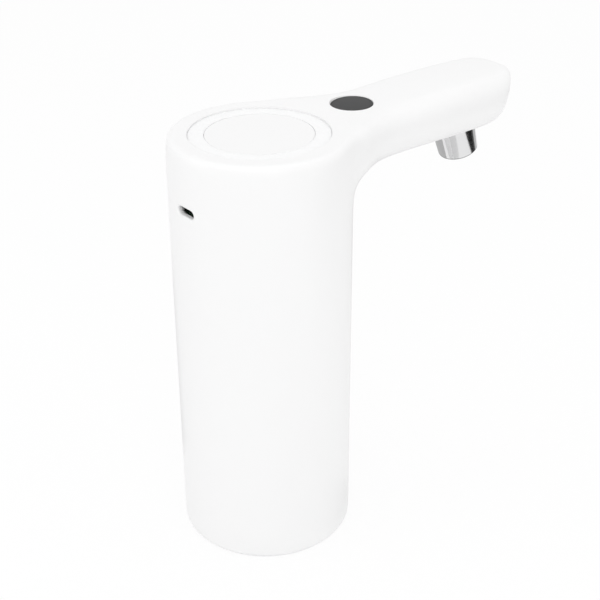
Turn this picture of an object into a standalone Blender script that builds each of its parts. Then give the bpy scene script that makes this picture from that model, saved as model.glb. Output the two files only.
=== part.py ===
"""Bottled water pump.

A cordless pump that stands on the neck of a large water bottle. A push button in the top deck
starts a small gear pump in the round body, and the water leaves through the steel nozzle under
the arm. The body's axis is Z, its base rests at z = 0 and the arm reaches out along +X. Lengths
are in metres.
"""

import math

import bmesh
import bpy
from mathutils import Matrix, Vector

# Clearances and cuts
FIT_GAP = 0.0003
CUT_OVERRUN = 0.0020
MERGE_DISTANCE = 0.000001

# Round pieces
HOLE_SIDES = 8
COARSE_SIDES = 14
ROUND_SIDES = 20
PLATE_SIDES = 36
FINE_SIDES = 48
SHELL_SIDES = 64

# Bottle neck under the pump
NECK_RADIUS = 0.0275
NECK_CLEARANCE = 0.0005
NECK_DEPTH = 0.0270

# Housing walls
WALL = 0.0020
UPPER_WALL = 0.0028
DECK = 0.0024
BODY_RADIUS = NECK_RADIUS + NECK_CLEARANCE + WALL
SOCKET_RADIUS = BODY_RADIUS - WALL
BAY_RADIUS = BODY_RADIUS - UPPER_WALL

# Base plate, neck seal and inlet
BASE_PLATE_THICKNESS = 0.0022
BASE_PLATE_TOP = NECK_DEPTH + BASE_PLATE_THICKNESS
BASE_LIP_HEIGHT = 0.0014
BASE_LIP_WIDTH = 0.0016
SEAL_RING_WIDTH = 0.0052
SEAL_RING_THICKNESS = 0.0018
INLET_RADIUS = 0.0044
INLET_BORE = 0.0026
INLET_LENGTH = 0.0125
INLET_FLANGE_RADIUS = 0.0072
INLET_FLANGE_THICKNESS = 0.0014
INLET_BARBS = 3

# Gear pump, stacked on the base plate
GEAR_TEETH = 10
GEAR_MODULE = 0.0010
PRESSURE_ANGLE = math.radians(20)
ADDENDUM_SHARE = 0.80
DEDENDUM_SHARE = 1.10
BACKLASH = 0.0003
FLANK_STEPS = 2
GEAR_LENGTH = 0.0068
GEAR_SPACING = GEAR_MODULE * GEAR_TEETH
CHAMBER_CLEARANCE = 0.0003
PUMP_WALL = 0.0020
PUMP_STANDOFF = 0.0038
PUMP_COVER_THICKNESS = 0.0022
PUMP_CEILING = 0.0041
PUMP_COVER_BOTTOM = BASE_PLATE_TOP + PUMP_STANDOFF
GEAR_BOTTOM = PUMP_COVER_BOTTOM + PUMP_COVER_THICKNESS + FIT_GAP
CHAMBER_TOP = GEAR_BOTTOM + GEAR_LENGTH + FIT_GAP
PUMP_TOP = CHAMBER_TOP + PUMP_CEILING
SEAL_RADIUS = 0.0040
SEAL_THICKNESS = 0.0015
SEAL_POCKET_DEPTH = 0.0034
PORT_RADIUS = 0.0018
OUTLET_TOWER_RADIUS = 0.0044
OUTLET_ROOM = 0.0025
SPIGOT_RADIUS = 0.0022
SPIGOT_BORE = 0.0013
PASSAGE_RADIUS = 0.0012
SPIGOT_LENGTH = 0.0060
BARB_RISE = 0.0006

# Motor
MOTOR_RADIUS = 0.0122
MOTOR_BOTTOM = PUMP_TOP + 2 * FIT_GAP
MOTOR_LENGTH = 0.0280
CAN_WALL = 0.0010
BOSS_RADIUS = 0.0036
BOSS_LENGTH = 0.0015
BUSHING_RADIUS = 0.0026
SHAFT_RADIUS = 0.0010
MAGNET_THICKNESS = 0.0016
MAGNET_LENGTH = 0.0180
MAGNET_ANGLE = math.radians(132)
MAGNET_STEPS = 10
ARMATURE_LENGTH = 0.0160
ARMATURE_GAP = 0.0005
SLOT_WIDTH = 0.0022
SLOT_DEPTH = 0.0040
SLOT_COUNT = 3
COMMUTATOR_RADIUS = 0.0026
COMMUTATOR_LENGTH = 0.0030
END_CAP_THICKNESS = 0.0024
END_CAP_BOSS_RADIUS = 0.0032
END_CAP_BOSS_LENGTH = 0.0016

# Battery
CELL_RADIUS = 0.0092
CELL_LENGTH = 0.0650
CELL_LIFT = 0.0038
CELL_BOTTOM = PUMP_TOP + CELL_LIFT
CELL_TOP = CELL_BOTTOM + CELL_LENGTH
CELL_EDGE = 0.0006
CELL_CAP_RADIUS = 0.0030
CELL_CAP_HEIGHT = 0.0010

# Cell and motor side by side across the bay
BAY_ROOM = 2 * (BAY_RADIUS - CELL_RADIUS - MOTOR_RADIUS)
CELL_ROOM_SHARE = 0.35
MOTOR_ROOM_SHARE = 0.25
CELL_AXIS = CELL_RADIUS + CELL_ROOM_SHARE * BAY_ROOM - BAY_RADIUS
MOTOR_AXIS = BAY_RADIUS - MOTOR_RADIUS - MOTOR_ROOM_SHARE * BAY_ROOM
IDLER_AXIS = MOTOR_AXIS - GEAR_SPACING
MESH_LINE = MOTOR_AXIS - GEAR_SPACING / 2
OUTLET_OFFSET = math.sqrt((BAY_RADIUS - OUTLET_TOWER_RADIUS - OUTLET_ROOM) ** 2 - MESH_LINE ** 2)

# Inner frame between battery and motor
SPINE_CENTRE = (CELL_AXIS + CELL_RADIUS + MOTOR_AXIS - MOTOR_RADIUS) / 2
SPINE_THICKNESS = 0.0026
SPINE_SIDE_ROOM = 0.0062
SHELF_THICKNESS = 0.0020
SHELF_RADIUS = BAY_RADIUS - 2 * FIT_GAP
CRADLE_INSET = 0.0055
CRADLE_THICKNESS = 0.0020
CRADLE_WRAP = 0.0069
CRADLE_WALL = 0.0034
SADDLE_LIFT = 0.0167
SADDLE_WRAP = 0.0062
SADDLE_WALL = 0.0018
LEAD_SLOT_RADIUS = 0.0050

# Leads
LEAD_RADIUS = 0.0007
LEAD_STEPS = 4
LEAD_REACH = 0.0060
LEAD_ROOM = 0.00765
TERMINAL_OFFSET = 0.0080

# Main board on the frame's shelf
BOARD_THICKNESS = 0.0012
BOARD_RADIUS = SHELF_RADIUS - 0.5 * FIT_GAP
BOARD_CUT = -0.0010
CHIP_WIDTH = 0.0070
CHIP_HEIGHT = 0.0010
CHIP_PLACE = (-0.0080, 0.0120)
CAPACITOR_RADIUS = 0.0020
CAPACITOR_HEIGHT = 0.0030
CAPACITOR_PLACE = (-0.0180, -0.0130)
CONNECTOR_LENGTH = 0.0060
CONNECTOR_WIDTH = 0.0045
CONNECTOR_HEIGHT = 0.0022
CONNECTOR_ROOM = 0.00535
CONNECTOR_PLACE = (-0.0060, -0.0120)
SHELF_BOTTOM = CELL_TOP + LEAD_ROOM
SHELF_TOP = SHELF_BOTTOM + SHELF_THICKNESS
MAIN_BOARD_TOP = SHELF_TOP + FIT_GAP + BOARD_THICKNESS

# Charging port in the back of the body
SOCKET_WIDTH = 0.0076
SOCKET_HEIGHT = 0.0029
SOCKET_LENGTH = 0.0056
SOCKET_SHELL = 0.0004
PORT_HEIGHT = MAIN_BOARD_TOP + FIT_GAP + SOCKET_HEIGHT / 2
PORT_WIDTH = SOCKET_WIDTH + 2 * FIT_GAP
PORT_MARGIN = 0.0001
PORT_DEPTH = SOCKET_HEIGHT + 2 * PORT_MARGIN
TONGUE_WIDTH = 0.0048
TONGUE_THICKNESS = 0.0006
TONGUE_LENGTH = 0.0036

# Button board and its switch
BUTTON_BOARD_RADIUS = 0.0135
BUTTON_BOARD_TOP = MAIN_BOARD_TOP + FIT_GAP + CONNECTOR_HEIGHT + CONNECTOR_ROOM + BOARD_THICKNESS
SWITCH_WIDTH = 0.0060
SWITCH_BODY_HEIGHT = 0.0022
SWITCH_TIP_RADIUS = 0.0017
SWITCH_TIP_HEIGHT = 0.0011
SWITCH_TOP = BUTTON_BOARD_TOP + FIT_GAP + SWITCH_BODY_HEIGHT + SWITCH_TIP_HEIGHT

# Deck frame under the deck
FRAME_RADIUS = BAY_RADIUS - FIT_GAP
FLANGE_THICKNESS = 0.0022
FRAME_WELL_RADIUS = 0.0162
FRAME_WALL = 0.0016
FRAME_WELL_DEPTH = 0.0034
GUIDE_WALL = 0.0017
GUIDE_RISE = 0.0024
POST_RADIUS = 0.0016
POST_CIRCLE = 0.0105
POST_LENGTH = 0.0036
POST_COUNT = 3
FRAME_BOTTOM = BUTTON_BOARD_TOP + FIT_GAP + POST_LENGTH
WELL_FLOOR = FRAME_BOTTOM + FRAME_WALL
FLANGE_TOP = WELL_FLOOR + FRAME_WELL_DEPTH

# Height of the body over all that it holds
DECK_UNDERSIDE = FLANGE_TOP + FIT_GAP
BODY_HEIGHT = DECK_UNDERSIDE + DECK

# Button well in the deck
WELL_RIM = 0.00705
WELL_RADIUS = BODY_RADIUS - WELL_RIM
RING_WIDTH = 0.0047
BUTTON_GAP = 0.00035
BUTTON_RADIUS = WELL_RADIUS - FIT_GAP - RING_WIDTH - BUTTON_GAP
BUTTON_THICKNESS = 0.0014
BUTTON_RECESS = 0.0002
BUTTON_TRAVEL = 0.0008
STEM_RADIUS = 0.0050
BUTTON_EDGE = 0.0004

# Button spring
SPRING_RADIUS = 0.0098
SPRING_WIRE_RADIUS = 0.00035
SPRING_TURNS = 3
SPRING_POINTS = 12
SPRING_WIRE_SIDES = 5

# Display in the arm's root
DISPLAY_SETBACK = 0.0090
DISPLAY_CENTRE = BODY_RADIUS + DISPLAY_SETBACK
DISPLAY_RADIUS = 0.0072
DISPLAY_RISE = 0.0005
DISPLAY_HEIGHT = BODY_HEIGHT + DISPLAY_RISE
DISPLAY_TILT = math.radians(2.5)
WINDOW_THICKNESS = 0.0016
MODULE_THICKNESS = 0.0034
DISPLAY_BOARD_LENGTH = 0.0164
DISPLAY_BOARD_WIDTH = 0.0150
DISPLAY_BOARD_THICKNESS = 0.0010
DISPLAY_BOTTOM = DISPLAY_HEIGHT - WINDOW_THICKNESS - MODULE_THICKNESS - DISPLAY_BOARD_THICKNESS - 2 * FIT_GAP

# Outlet tube along the arm, under the display
TUBE_RADIUS = 0.0040
TUBE_BORE = 0.0025
TUBE_HEADROOM = 0.0010
TUBE_FOOTROOM = 0.0006
TUBE_RUN_HEIGHT = DISPLAY_BOTTOM - TUBE_HEADROOM - TUBE_RADIUS
TUBE_BEND_DROP = 0.0182
TUBE_BEND_REACH = 0.0100
TUBE_BEND_PULL_SHARES = (0.36, 0.55)
TUBE_SIDES = 10
TUBE_BEND_STEPS = 11

# Arm around the tube
ARM_LENGTH = 0.0774
ARM_REACH = BODY_RADIUS + ARM_LENGTH
ARM_FLOOR = 0.0051
CHANNEL_FLOOR = TUBE_RUN_HEIGHT - TUBE_RADIUS - TUBE_FOOTROOM
ARM_UNDERSIDE = CHANNEL_FLOOR - ARM_FLOOR
ARM_HALF_WIDTH = 0.0143
ARM_CROWN = 0.0017
ARM_BELLY = 0.0011
TOP_EDGE_INSET = 0.0055
TOP_EDGE_DROP = 0.0015
LOWER_EDGE_INSET = 0.0064
LOWER_EDGE_RISE = 0.0069
TIP_RAKE = 0.16
STATION_SHARES = (0.16, 0.38, 0.60, 0.82, 1.00)
CROWN_SHARES = (0.40, 0.80, 1.00, 0.88, 0.55)
WIDTH_SHARES = (1.00, 1.01, 1.00, 0.96, 0.91)
BELLY_SHARES = (0.95, 1.00, 0.50, 0.00, 0.00)
RAKE_SHARES = (0.0, 0.1, 0.4, 0.8, 1.0)
CHANNEL_WALL = 0.0034
CHANNEL_HALF_WIDTH = ARM_HALF_WIDTH - CHANNEL_WALL
TIP_WALL = 0.0044
CHANNEL_END = ARM_REACH - TIP_WALL
CHANNEL_CORNER = 0.0060

# Control cage of the outer skin
CAGE_COLUMNS = 16
SKIN_LEVELS = 2
FLAT_ANGLE = math.radians(0.8)
DECK_LOOP_INSET = 0.0055
RIM_INSET = 0.0008
SIDE_LOOP_RISE = 0.0056
BASE_EDGE = 0.0010
BASE_LOOP = 0.0030
ROOT_BLEND = 0.0076
ROOT_FLARE = 0.0089
ROOT_FLARE_SHARES = (1.00, 1.00, 1.15, 0.03)
ROOT_LIFT = 0.0004
ROOT_LIFT_SHARES = {1: 1.0, 2: 0.6}

# Nozzle, along its own tilted axis from the mouth inward
NOZZLE_TILT = math.radians(18.8)
NOZZLE_SETBACK = 0.0155
NOZZLE_LENGTH = 0.0128
NOZZLE_TOP_RADIUS = 0.0080
NOZZLE_TAPER = 0.0007
MOUTH_RADIUS = NOZZLE_TOP_RADIUS - NOZZLE_TAPER
MOUTH_WALL = 0.0007
MOUTH_DEPTH = 0.0072
MOUTH_LIP = 0.0004
NOZZLE_BORE = 0.0044
INSERT_THICKNESS = 0.0015
INSERT_HOLE_RADIUS = 0.0009
INSERT_HOLES = 6
GASKET_THICKNESS = 0.0010
GASKET_RADIUS = NOZZLE_TOP_RADIUS - 2 * FIT_GAP
ELBOW_SEAT = NOZZLE_LENGTH + GASKET_THICKNESS + 2 * FIT_GAP
ELBOW_SEAT_RISE = 0.00023
ELBOW_RADIUS = GASKET_RADIUS
ELBOW_LENGTH = 0.0084
ELBOW_FLANGE_REACH = 0.0102
ELBOW_FLANGE_HALF_WIDTH = 0.0081
ELBOW_FLANGE_THICKNESS = 0.0016
PLUG_RADIUS = NOZZLE_BORE - FIT_GAP
PLUG_LENGTH = 0.0060
ELBOW_BORE = 0.0020
MOUTH_REACH = ARM_REACH - NOZZLE_SETBACK
MOUTH_HEIGHT = CHANNEL_FLOOR + ELBOW_SEAT_RISE - ELBOW_SEAT * math.cos(NOZZLE_TILT)

# Cover under the arm, between its root and the nozzle
COVER_ROOT_INSET = 0.0130
COVER_NOZZLE_INSET = 0.0169
COVER_SIDE_INSET = 0.0056
COVER_START = BODY_RADIUS + COVER_ROOT_INSET
COVER_END = MOUTH_REACH - COVER_NOZZLE_INSET
COVER_HALF_WIDTH = ARM_HALF_WIDTH - COVER_SIDE_INSET
COVER_CORNER = 0.0020
COVER_RIM = 0.0018
COVER_TRAY_DEPTH = 0.0018
HOOK_LENGTH = 0.0030
HOOK_WIDTH = 0.0024
HOOK_HEIGHT = 0.0016
HOOK_INSET = 0.0033
TUBE_SETBACK = 0.0174
TUBE_END = MOUTH_REACH - TUBE_SETBACK


def material(name, colour, roughness, metallic=0.0):
    """Principled material of one piece."""
    made = bpy.data.materials.new(name)
    made.use_nodes = True
    shader = made.node_tree.nodes["Principled BSDF"]
    shader.inputs["Base Color"].default_value = (*colour, 1.0)
    shader.inputs["Roughness"].default_value = roughness
    shader.inputs["Metallic"].default_value = metallic
    return made


def add_object(name, mesh_builder, finish=None, location=(0, 0, 0), tilt=0.0):
    """Turn a bmesh into an object, placed by its location and its tilt about Y."""
    mesh = bpy.data.meshes.new(name)
    bmesh.ops.recalc_face_normals(mesh_builder, faces=mesh_builder.faces)
    mesh_builder.to_mesh(mesh)
    mesh_builder.free()
    mesh.shade_smooth()
    mesh.set_sharp_from_angle(angle=math.radians(30))
    if finish:
        mesh.materials.append(finish)
    made = bpy.data.objects.new(name, mesh)
    made.location = location
    made.rotation_euler = (0, -tilt, 0)
    bpy.context.collection.objects.link(made)
    return made


def combine(target, tool, operation):
    """Join, cut or intersect the target with a tool object, which is then only a guide."""
    tool.hide_render = True
    tool.display_type = "WIRE"
    step = target.modifiers.new(tool.name, "BOOLEAN")
    step.operation = operation
    step.object = tool
    return target


def cut(target, name, mesh_builder, location=(0, 0, 0), tilt=0.0):
    """Cut a shape away from the target."""
    return combine(target, add_object(name, mesh_builder, None, location, tilt), "DIFFERENCE")


def join(target, name, mesh_builder, location=(0, 0, 0), tilt=0.0):
    """Add a shape to the target."""
    return combine(target, add_object(name, mesh_builder, None, location, tilt), "UNION")


def turned(profile, sides=ROUND_SIDES):
    """Revolve a closed outline of (radius, height) points about Z."""
    shape = bmesh.new()
    points = [shape.verts.new((radius, 0, height)) for radius, height in profile]
    edges = []
    for start, end in zip(points, points[1:] + points[:1]):
        on_axis = start.co.x == 0 and end.co.x == 0
        if not on_axis:
            edges.append(shape.edges.new((start, end)))
    bmesh.ops.spin(shape, geom=points + edges, cent=(0, 0, 0), axis=(0, 0, 1),
                   angle=math.tau, steps=sides, use_merge=True)
    bmesh.ops.remove_doubles(shape, verts=shape.verts, dist=MERGE_DISTANCE)
    middles = [vert for vert in shape.verts if vert.co.xy.length < MERGE_DISTANCE]
    bmesh.ops.dissolve_verts(shape, verts=middles)
    return shape


def rod(radius, bottom, top, sides=ROUND_SIDES):
    """Solid cylinder about Z."""
    return turned([(0, top), (radius, top), (radius, bottom), (0, bottom)], sides)


def sleeve(outer, bore, bottom, top, sides=ROUND_SIDES):
    """Cylinder about Z with a through bore."""
    return turned([(bore, top), (outer, top), (outer, bottom), (bore, bottom)], sides)


def block(low, high):
    """Box between two corners."""
    shape = bmesh.new()
    size = Vector(high) - Vector(low)
    centre = (Vector(high) + Vector(low)) / 2
    bmesh.ops.create_cube(shape, size=1.0, matrix=Matrix.Translation(centre) @ Matrix.Diagonal((*size, 1.0)))
    return shape


def prism(outline, bottom, top):
    """Plane outline of (x, y) points raised between two heights."""
    shape = bmesh.new()
    floor = shape.faces.new([shape.verts.new((x, y, bottom)) for x, y in outline])
    raised = bmesh.ops.extrude_face_region(shape, geom=[floor])["geom"]
    moved = [item for item in raised if isinstance(item, bmesh.types.BMVert)]
    bmesh.ops.translate(shape, verts=moved, vec=(0, 0, top - bottom))
    return shape


def slab(outline, left, right):
    """Upright outline of (x, z) points given a width along Y."""
    shape = prism(outline, left, right)
    upright = Matrix(((1, 0, 0, 0), (0, 0, 1, 0), (0, 1, 0, 0), (0, 0, 0, 1)))
    bmesh.ops.transform(shape, verts=shape.verts, matrix=upright)
    return shape


def arc(centre, radius, start, end, steps):
    """Points of an arc, both ends included."""
    angles = [start + (end - start) * step / steps for step in range(steps + 1)]
    return [(centre[0] + radius * math.cos(a), centre[1] + radius * math.sin(a)) for a in angles]


def rounded_rectangle(x_low, x_high, half_width, corner, steps=5):
    """Outline with round corners, symmetric about the X axis."""
    quarter = math.pi / 2
    points = arc((x_high - corner, half_width - corner), corner, 0, quarter, steps)
    points += arc((x_low + corner, half_width - corner), corner, quarter, 2 * quarter, steps)
    points += arc((x_low + corner, corner - half_width), corner, 2 * quarter, 3 * quarter, steps)
    points += arc((x_high - corner, corner - half_width), corner, 3 * quarter, 4 * quarter, steps)
    return points


def swept(route, radius, sides, bore=0.0):
    """Round tube along a route of points, open through its bore where it has one."""
    shape = bmesh.new()
    neighbours = zip(route[:1] + route[:-1], route[1:] + route[-1:])
    tangents = [(after - before).normalized() for before, after in neighbours]
    side = tangents[0].orthogonal().normalized()
    rings = {radius: [], bore: []}
    for point, tangent in zip(route, tangents):
        side = (side - tangent * side.dot(tangent)).normalized()
        across = tangent.cross(side)
        for size, stack in rings.items():
            if size > 0:
                turns = [math.tau * step / sides for step in range(sides)]
                stack.append([shape.verts.new(point + (side * math.cos(t) + across * math.sin(t)) * size)
                              for t in turns])
    for stack in rings.values():
        for lower, upper in zip(stack, stack[1:]):
            for step in range(sides):
                following = (step + 1) % sides
                shape.faces.new((lower[step], lower[following], upper[following], upper[step]))
    for end in (0, -1):
        if bore > 0:
            for step in range(sides):
                following = (step + 1) % sides
                shape.faces.new((rings[radius][end][step], rings[radius][end][following],
                                 rings[bore][end][following], rings[bore][end][step]))
        else:
            shape.faces.new(rings[radius][end])
    return shape


# Outer skin


def skin_cage():
    """Cage of a round column whose upper +X side is drawn out into the arm."""
    cage = bmesh.new()
    column = cage.verts.layers.int.new("column")
    row = cage.verts.layers.int.new("row")
    crease = cage.edges.layers.float.new("crease_edge")
    turn = math.tau / CAGE_COLUMNS
    control_radius = BODY_RADIUS * 3 / (2 + math.cos(turn))
    rows = [
        (control_radius - RIM_INSET, BODY_HEIGHT),
        (control_radius, BODY_HEIGHT - RIM_INSET),
        (control_radius, ARM_UNDERSIDE + SIDE_LOOP_RISE),
        (control_radius, ARM_UNDERSIDE),
        (control_radius, ARM_UNDERSIDE - ROOT_BLEND),
        (control_radius, BASE_LOOP),
        (control_radius, BASE_EDGE),
        (control_radius - BASE_EDGE, 0),
    ]

    deck = bmesh.ops.create_circle(cage, cap_ends=True, segments=CAGE_COLUMNS,
                                 radius=BODY_RADIUS - DECK_LOOP_INSET)
    for vert in deck["verts"]:
        vert[column] = round(math.atan2(vert.co.y, vert.co.x) / turn)
        vert[row] = -1
        vert.co.z = BODY_HEIGHT
    rim = [edge for edge in cage.edges if edge.is_boundary]
    for index, (radius, height) in enumerate(rows):
        added = bmesh.ops.extrude_edge_only(cage, edges=rim)["geom"]
        rim = [item for item in added if isinstance(item, bmesh.types.BMEdge) and item.is_boundary]
        for vert in {vert for edge in rim for vert in edge.verts}:
            vert[row] = index
            angle = vert[column] * turn
            vert.co = (radius * math.cos(angle), radius * math.sin(angle), height)
            beside_arm = abs(vert[column])
            if beside_arm == 1 and index < len(ROOT_FLARE_SHARES):
                vert.co.y += math.copysign(ROOT_FLARE * ROOT_FLARE_SHARES[index], vert.co.y)
            if index == 0:
                vert.co.z += ROOT_LIFT * ROOT_LIFT_SHARES.get(beside_arm, 0)
        if index == len(ROOT_FLARE_SHARES):
            for edge in rim:
                edge.seam = True
    bmesh.ops.contextual_create(cage, geom=rim)
    for edge in rim:
        edge[crease] = 1.0

    last_arm_row = len(ROOT_FLARE_SHARES) - 1
    region = [face for face in cage.faces
              if all(abs(vert[column]) <= 1 and 0 <= vert[row] <= last_arm_row for vert in face.verts)]
    for station in range(len(STATION_SHARES)):
        added = bmesh.ops.extrude_face_region(cage, geom=region)["geom"]
        left_behind = [face for face in region if face.is_valid]
        bmesh.ops.delete(cage, geom=left_behind, context="FACES")
        region = [item for item in added if isinstance(item, bmesh.types.BMFace)]
        for vert in {vert for face in region for vert in face.verts}:
            vert.co = arm_point(station, vert[row], vert[column])
    return cage


def arm_point(station, row, side):
    """Control point of the arm at a station, a row from top to underside and a side of -1, 0 or 1."""
    reach = BODY_RADIUS + STATION_SHARES[station] * ARM_LENGTH
    top = BODY_HEIGHT + ARM_CROWN * CROWN_SHARES[station]
    bottom = ARM_UNDERSIDE + ARM_BELLY * BELLY_SHARES[station]
    half_width = ARM_HALF_WIDTH * WIDTH_SHARES[station]
    height = (top, top - TOP_EDGE_DROP, bottom + LOWER_EDGE_RISE, bottom)[row]
    width = (half_width - TOP_EDGE_INSET, half_width, half_width, half_width - LOWER_EDGE_INSET)[row]
    rake = TIP_RAKE * RAKE_SHARES[station] * (height - (top + bottom) / 2)
    return (reach + rake, side * width, height)


def skin_object(name, finish):
    """Smooth outer skin as a closed solid, its flat strips merged."""
    skin = add_object(name, skin_cage(), finish)
    smooth = skin.modifiers.new("Skin", "SUBSURF")
    smooth.levels = SKIN_LEVELS
    smooth.render_levels = SKIN_LEVELS
    flat = skin.modifiers.new("Flat strips", "DECIMATE")
    flat.decimate_type = "DISSOLVE"
    flat.delimit = {"SEAM"}
    flat.angle_limit = FLAT_ANGLE
    skin.modifiers.new("Facets", "TRIANGULATE")
    return skin


# Housing


def cover_outline(gap=0.0):
    """Plan of the cover under the arm, grown by a gap for its opening."""
    return rounded_rectangle(COVER_START - gap, COVER_END + gap, COVER_HALF_WIDTH + gap, COVER_CORNER + gap)


def slot_shape(width, height, depth):
    """Slot with round ends, lying along Y, that runs along X from zero."""
    half_straight = (width - height) / 2
    half_turn = math.pi / 2
    outline = arc((half_straight, 0), height / 2, -half_turn, half_turn, 6)
    outline += arc((-half_straight, 0), height / 2, half_turn, 3 * half_turn, 6)
    slot = prism(outline, 0, depth)
    along_x = Matrix(((0, 0, 1, 0), (1, 0, 0, 0), (0, 1, 0, 0), (0, 0, 0, 1)))
    bmesh.ops.transform(slot, verts=slot.verts, matrix=along_x)
    return slot


def make_housing():
    """White shell of body and arm in one piece, open at the neck, the deck and under the arm."""
    white = material("housing", (0.86, 0.87, 0.88), 0.28)
    housing = skin_object("housing", white)
    bay = turned([
        (0, DECK_UNDERSIDE), (BAY_RADIUS, DECK_UNDERSIDE), (BAY_RADIUS, BASE_PLATE_TOP + FIT_GAP),
        (SOCKET_RADIUS, BASE_PLATE_TOP + FIT_GAP), (SOCKET_RADIUS, -CUT_OVERRUN), (0, -CUT_OVERRUN),
    ], SHELL_SIDES)
    cut(housing, "Bay", bay)
    channel = rounded_rectangle(0, CHANNEL_END, CHANNEL_HALF_WIDTH, CHANNEL_CORNER)
    cut(housing, "Arm channel", prism(channel, CHANNEL_FLOOR, DECK_UNDERSIDE))
    opening = prism(cover_outline(FIT_GAP), ARM_UNDERSIDE - CUT_OVERRUN, CHANNEL_FLOOR + CUT_OVERRUN)
    cut(housing, "Cover opening", opening)
    well = rod(WELL_RADIUS, DECK_UNDERSIDE - CUT_OVERRUN, BODY_HEIGHT + CUT_OVERRUN, FINE_SIDES)
    cut(housing, "Button well", well)
    display_seat = rod(DISPLAY_RADIUS + FIT_GAP, -WINDOW_THICKNESS - MODULE_THICKNESS, CUT_OVERRUN)
    cut(housing, "Display seat", display_seat, (DISPLAY_CENTRE, 0, DISPLAY_HEIGHT), DISPLAY_TILT)
    cut(housing, "Charging slot", slot_shape(PORT_WIDTH, PORT_DEPTH, UPPER_WALL + 2 * CUT_OVERRUN),
        (-BODY_RADIUS - CUT_OVERRUN, 0, PORT_HEIGHT))
    cut(housing, "Nozzle hole", rod(NOZZLE_TOP_RADIUS + FIT_GAP, 0, NOZZLE_LENGTH + 3 * CUT_OVERRUN),
        (MOUTH_REACH, 0, MOUTH_HEIGHT), NOZZLE_TILT)
    return housing


def make_arm_cover():
    """Tray-shaped cover flush with the arm's underside, with two hooks at its inner end."""
    white = material("arm_cover", (0.84, 0.85, 0.86), 0.34)
    cover = skin_object("arm_cover", white)
    region = prism(cover_outline(), ARM_UNDERSIDE - CUT_OVERRUN, CHANNEL_FLOOR - FIT_GAP)
    combine(cover, add_object("Cover plan", region), "INTERSECT")
    tray_floor = CHANNEL_FLOOR - COVER_TRAY_DEPTH
    tray = rounded_rectangle(COVER_START + COVER_RIM, COVER_END - COVER_RIM,
                             COVER_HALF_WIDTH - COVER_RIM, COVER_CORNER - COVER_RIM)
    cut(cover, "Tray", prism(tray, tray_floor, CHANNEL_FLOOR + CUT_OVERRUN))
    hook_bottom = CHANNEL_FLOOR + FIT_GAP
    hook_top = hook_bottom + HOOK_HEIGHT
    profile = [(COVER_START, tray_floor - FIT_GAP), (COVER_START + COVER_RIM, tray_floor - FIT_GAP),
               (COVER_START + COVER_RIM, hook_top), (COVER_START - HOOK_LENGTH, hook_top),
               (COVER_START - HOOK_LENGTH, hook_bottom), (COVER_START, hook_bottom)]
    for side, name in ((-1, "Right hook"), (1, "Left hook")):
        place = side * (COVER_HALF_WIDTH - HOOK_INSET)
        join(cover, name, slab(profile, place - HOOK_WIDTH / 2, place + HOOK_WIDTH / 2))
    return cover


# Deck: light ring, button and display


def make_light_ring():
    """Milky ring around the button that glows when the pump runs."""
    milky = material("light_ring", (0.90, 0.91, 0.92), 0.35)
    outer = WELL_RADIUS - FIT_GAP
    inner = outer - RING_WIDTH
    top = BODY_HEIGHT - BUTTON_RECESS / 2
    return add_object("light_ring", sleeve(outer, inner, FLANGE_TOP + FIT_GAP, top, FINE_SIDES), milky)


def make_power_button():
    """Round push button with the stem that presses the switch."""
    white = material("power_button", (0.83, 0.84, 0.85), 0.25)
    top = BODY_HEIGHT - BUTTON_RECESS
    underside = top - BUTTON_THICKNESS
    stem_end = SWITCH_TOP + FIT_GAP + BUTTON_TRAVEL
    profile = [
        (0, top), (BUTTON_RADIUS - BUTTON_EDGE, top), (BUTTON_RADIUS, top - BUTTON_EDGE),
        (BUTTON_RADIUS, underside), (STEM_RADIUS, underside), (STEM_RADIUS, stem_end), (0, stem_end),
    ]
    return add_object("power_button", turned(profile, FINE_SIDES), white)


def make_deck_frame():
    """Frame screwed under the deck: it carries the light ring, guides the button and holds its board."""
    grey = material("deck_frame", (0.25, 0.26, 0.27), 0.5)
    guide_bore = STEM_RADIUS + FIT_GAP
    guide_outer = guide_bore + GUIDE_WALL
    well_outer = FRAME_WELL_RADIUS + FRAME_WALL
    flange_bottom = FLANGE_TOP - FLANGE_THICKNESS
    guide_top = WELL_FLOOR + GUIDE_RISE
    profile = [
        (guide_bore, guide_top), (guide_outer, guide_top), (guide_outer, WELL_FLOOR),
        (FRAME_WELL_RADIUS, WELL_FLOOR), (FRAME_WELL_RADIUS, FLANGE_TOP), (FRAME_RADIUS, FLANGE_TOP),
        (FRAME_RADIUS, flange_bottom), (well_outer, flange_bottom), (well_outer, FRAME_BOTTOM),
        (guide_bore, FRAME_BOTTOM),
    ]
    frame = add_object("deck_frame", turned(profile), grey)
    for index in range(POST_COUNT):
        angle = math.tau * (index + 0.5) / POST_COUNT
        place = (POST_CIRCLE * math.cos(angle), POST_CIRCLE * math.sin(angle), FRAME_BOTTOM)
        post = rod(POST_RADIUS, -POST_LENGTH, FRAME_WALL / 2, COARSE_SIDES)
        join(frame, f"Board post {index}", post, place)
    return frame


def make_button_spring():
    """Coil spring around the stem's guide that lifts the button."""
    steel = material("button_spring", (0.55, 0.56, 0.58), 0.3, 1.0)
    bottom = WELL_FLOOR + FIT_GAP + SPRING_WIRE_RADIUS
    top = BODY_HEIGHT - BUTTON_RECESS - BUTTON_THICKNESS - FIT_GAP - SPRING_WIRE_RADIUS
    count = SPRING_TURNS * SPRING_POINTS
    route = []
    for index in range(count + 1):
        angle = math.tau * index / SPRING_POINTS
        height = bottom + (top - bottom) * index / count
        route.append(Vector((SPRING_RADIUS * math.cos(angle), SPRING_RADIUS * math.sin(angle), height)))
    return add_object("button_spring", swept(route, SPRING_WIRE_RADIUS, SPRING_WIRE_SIDES), steel)


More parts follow.
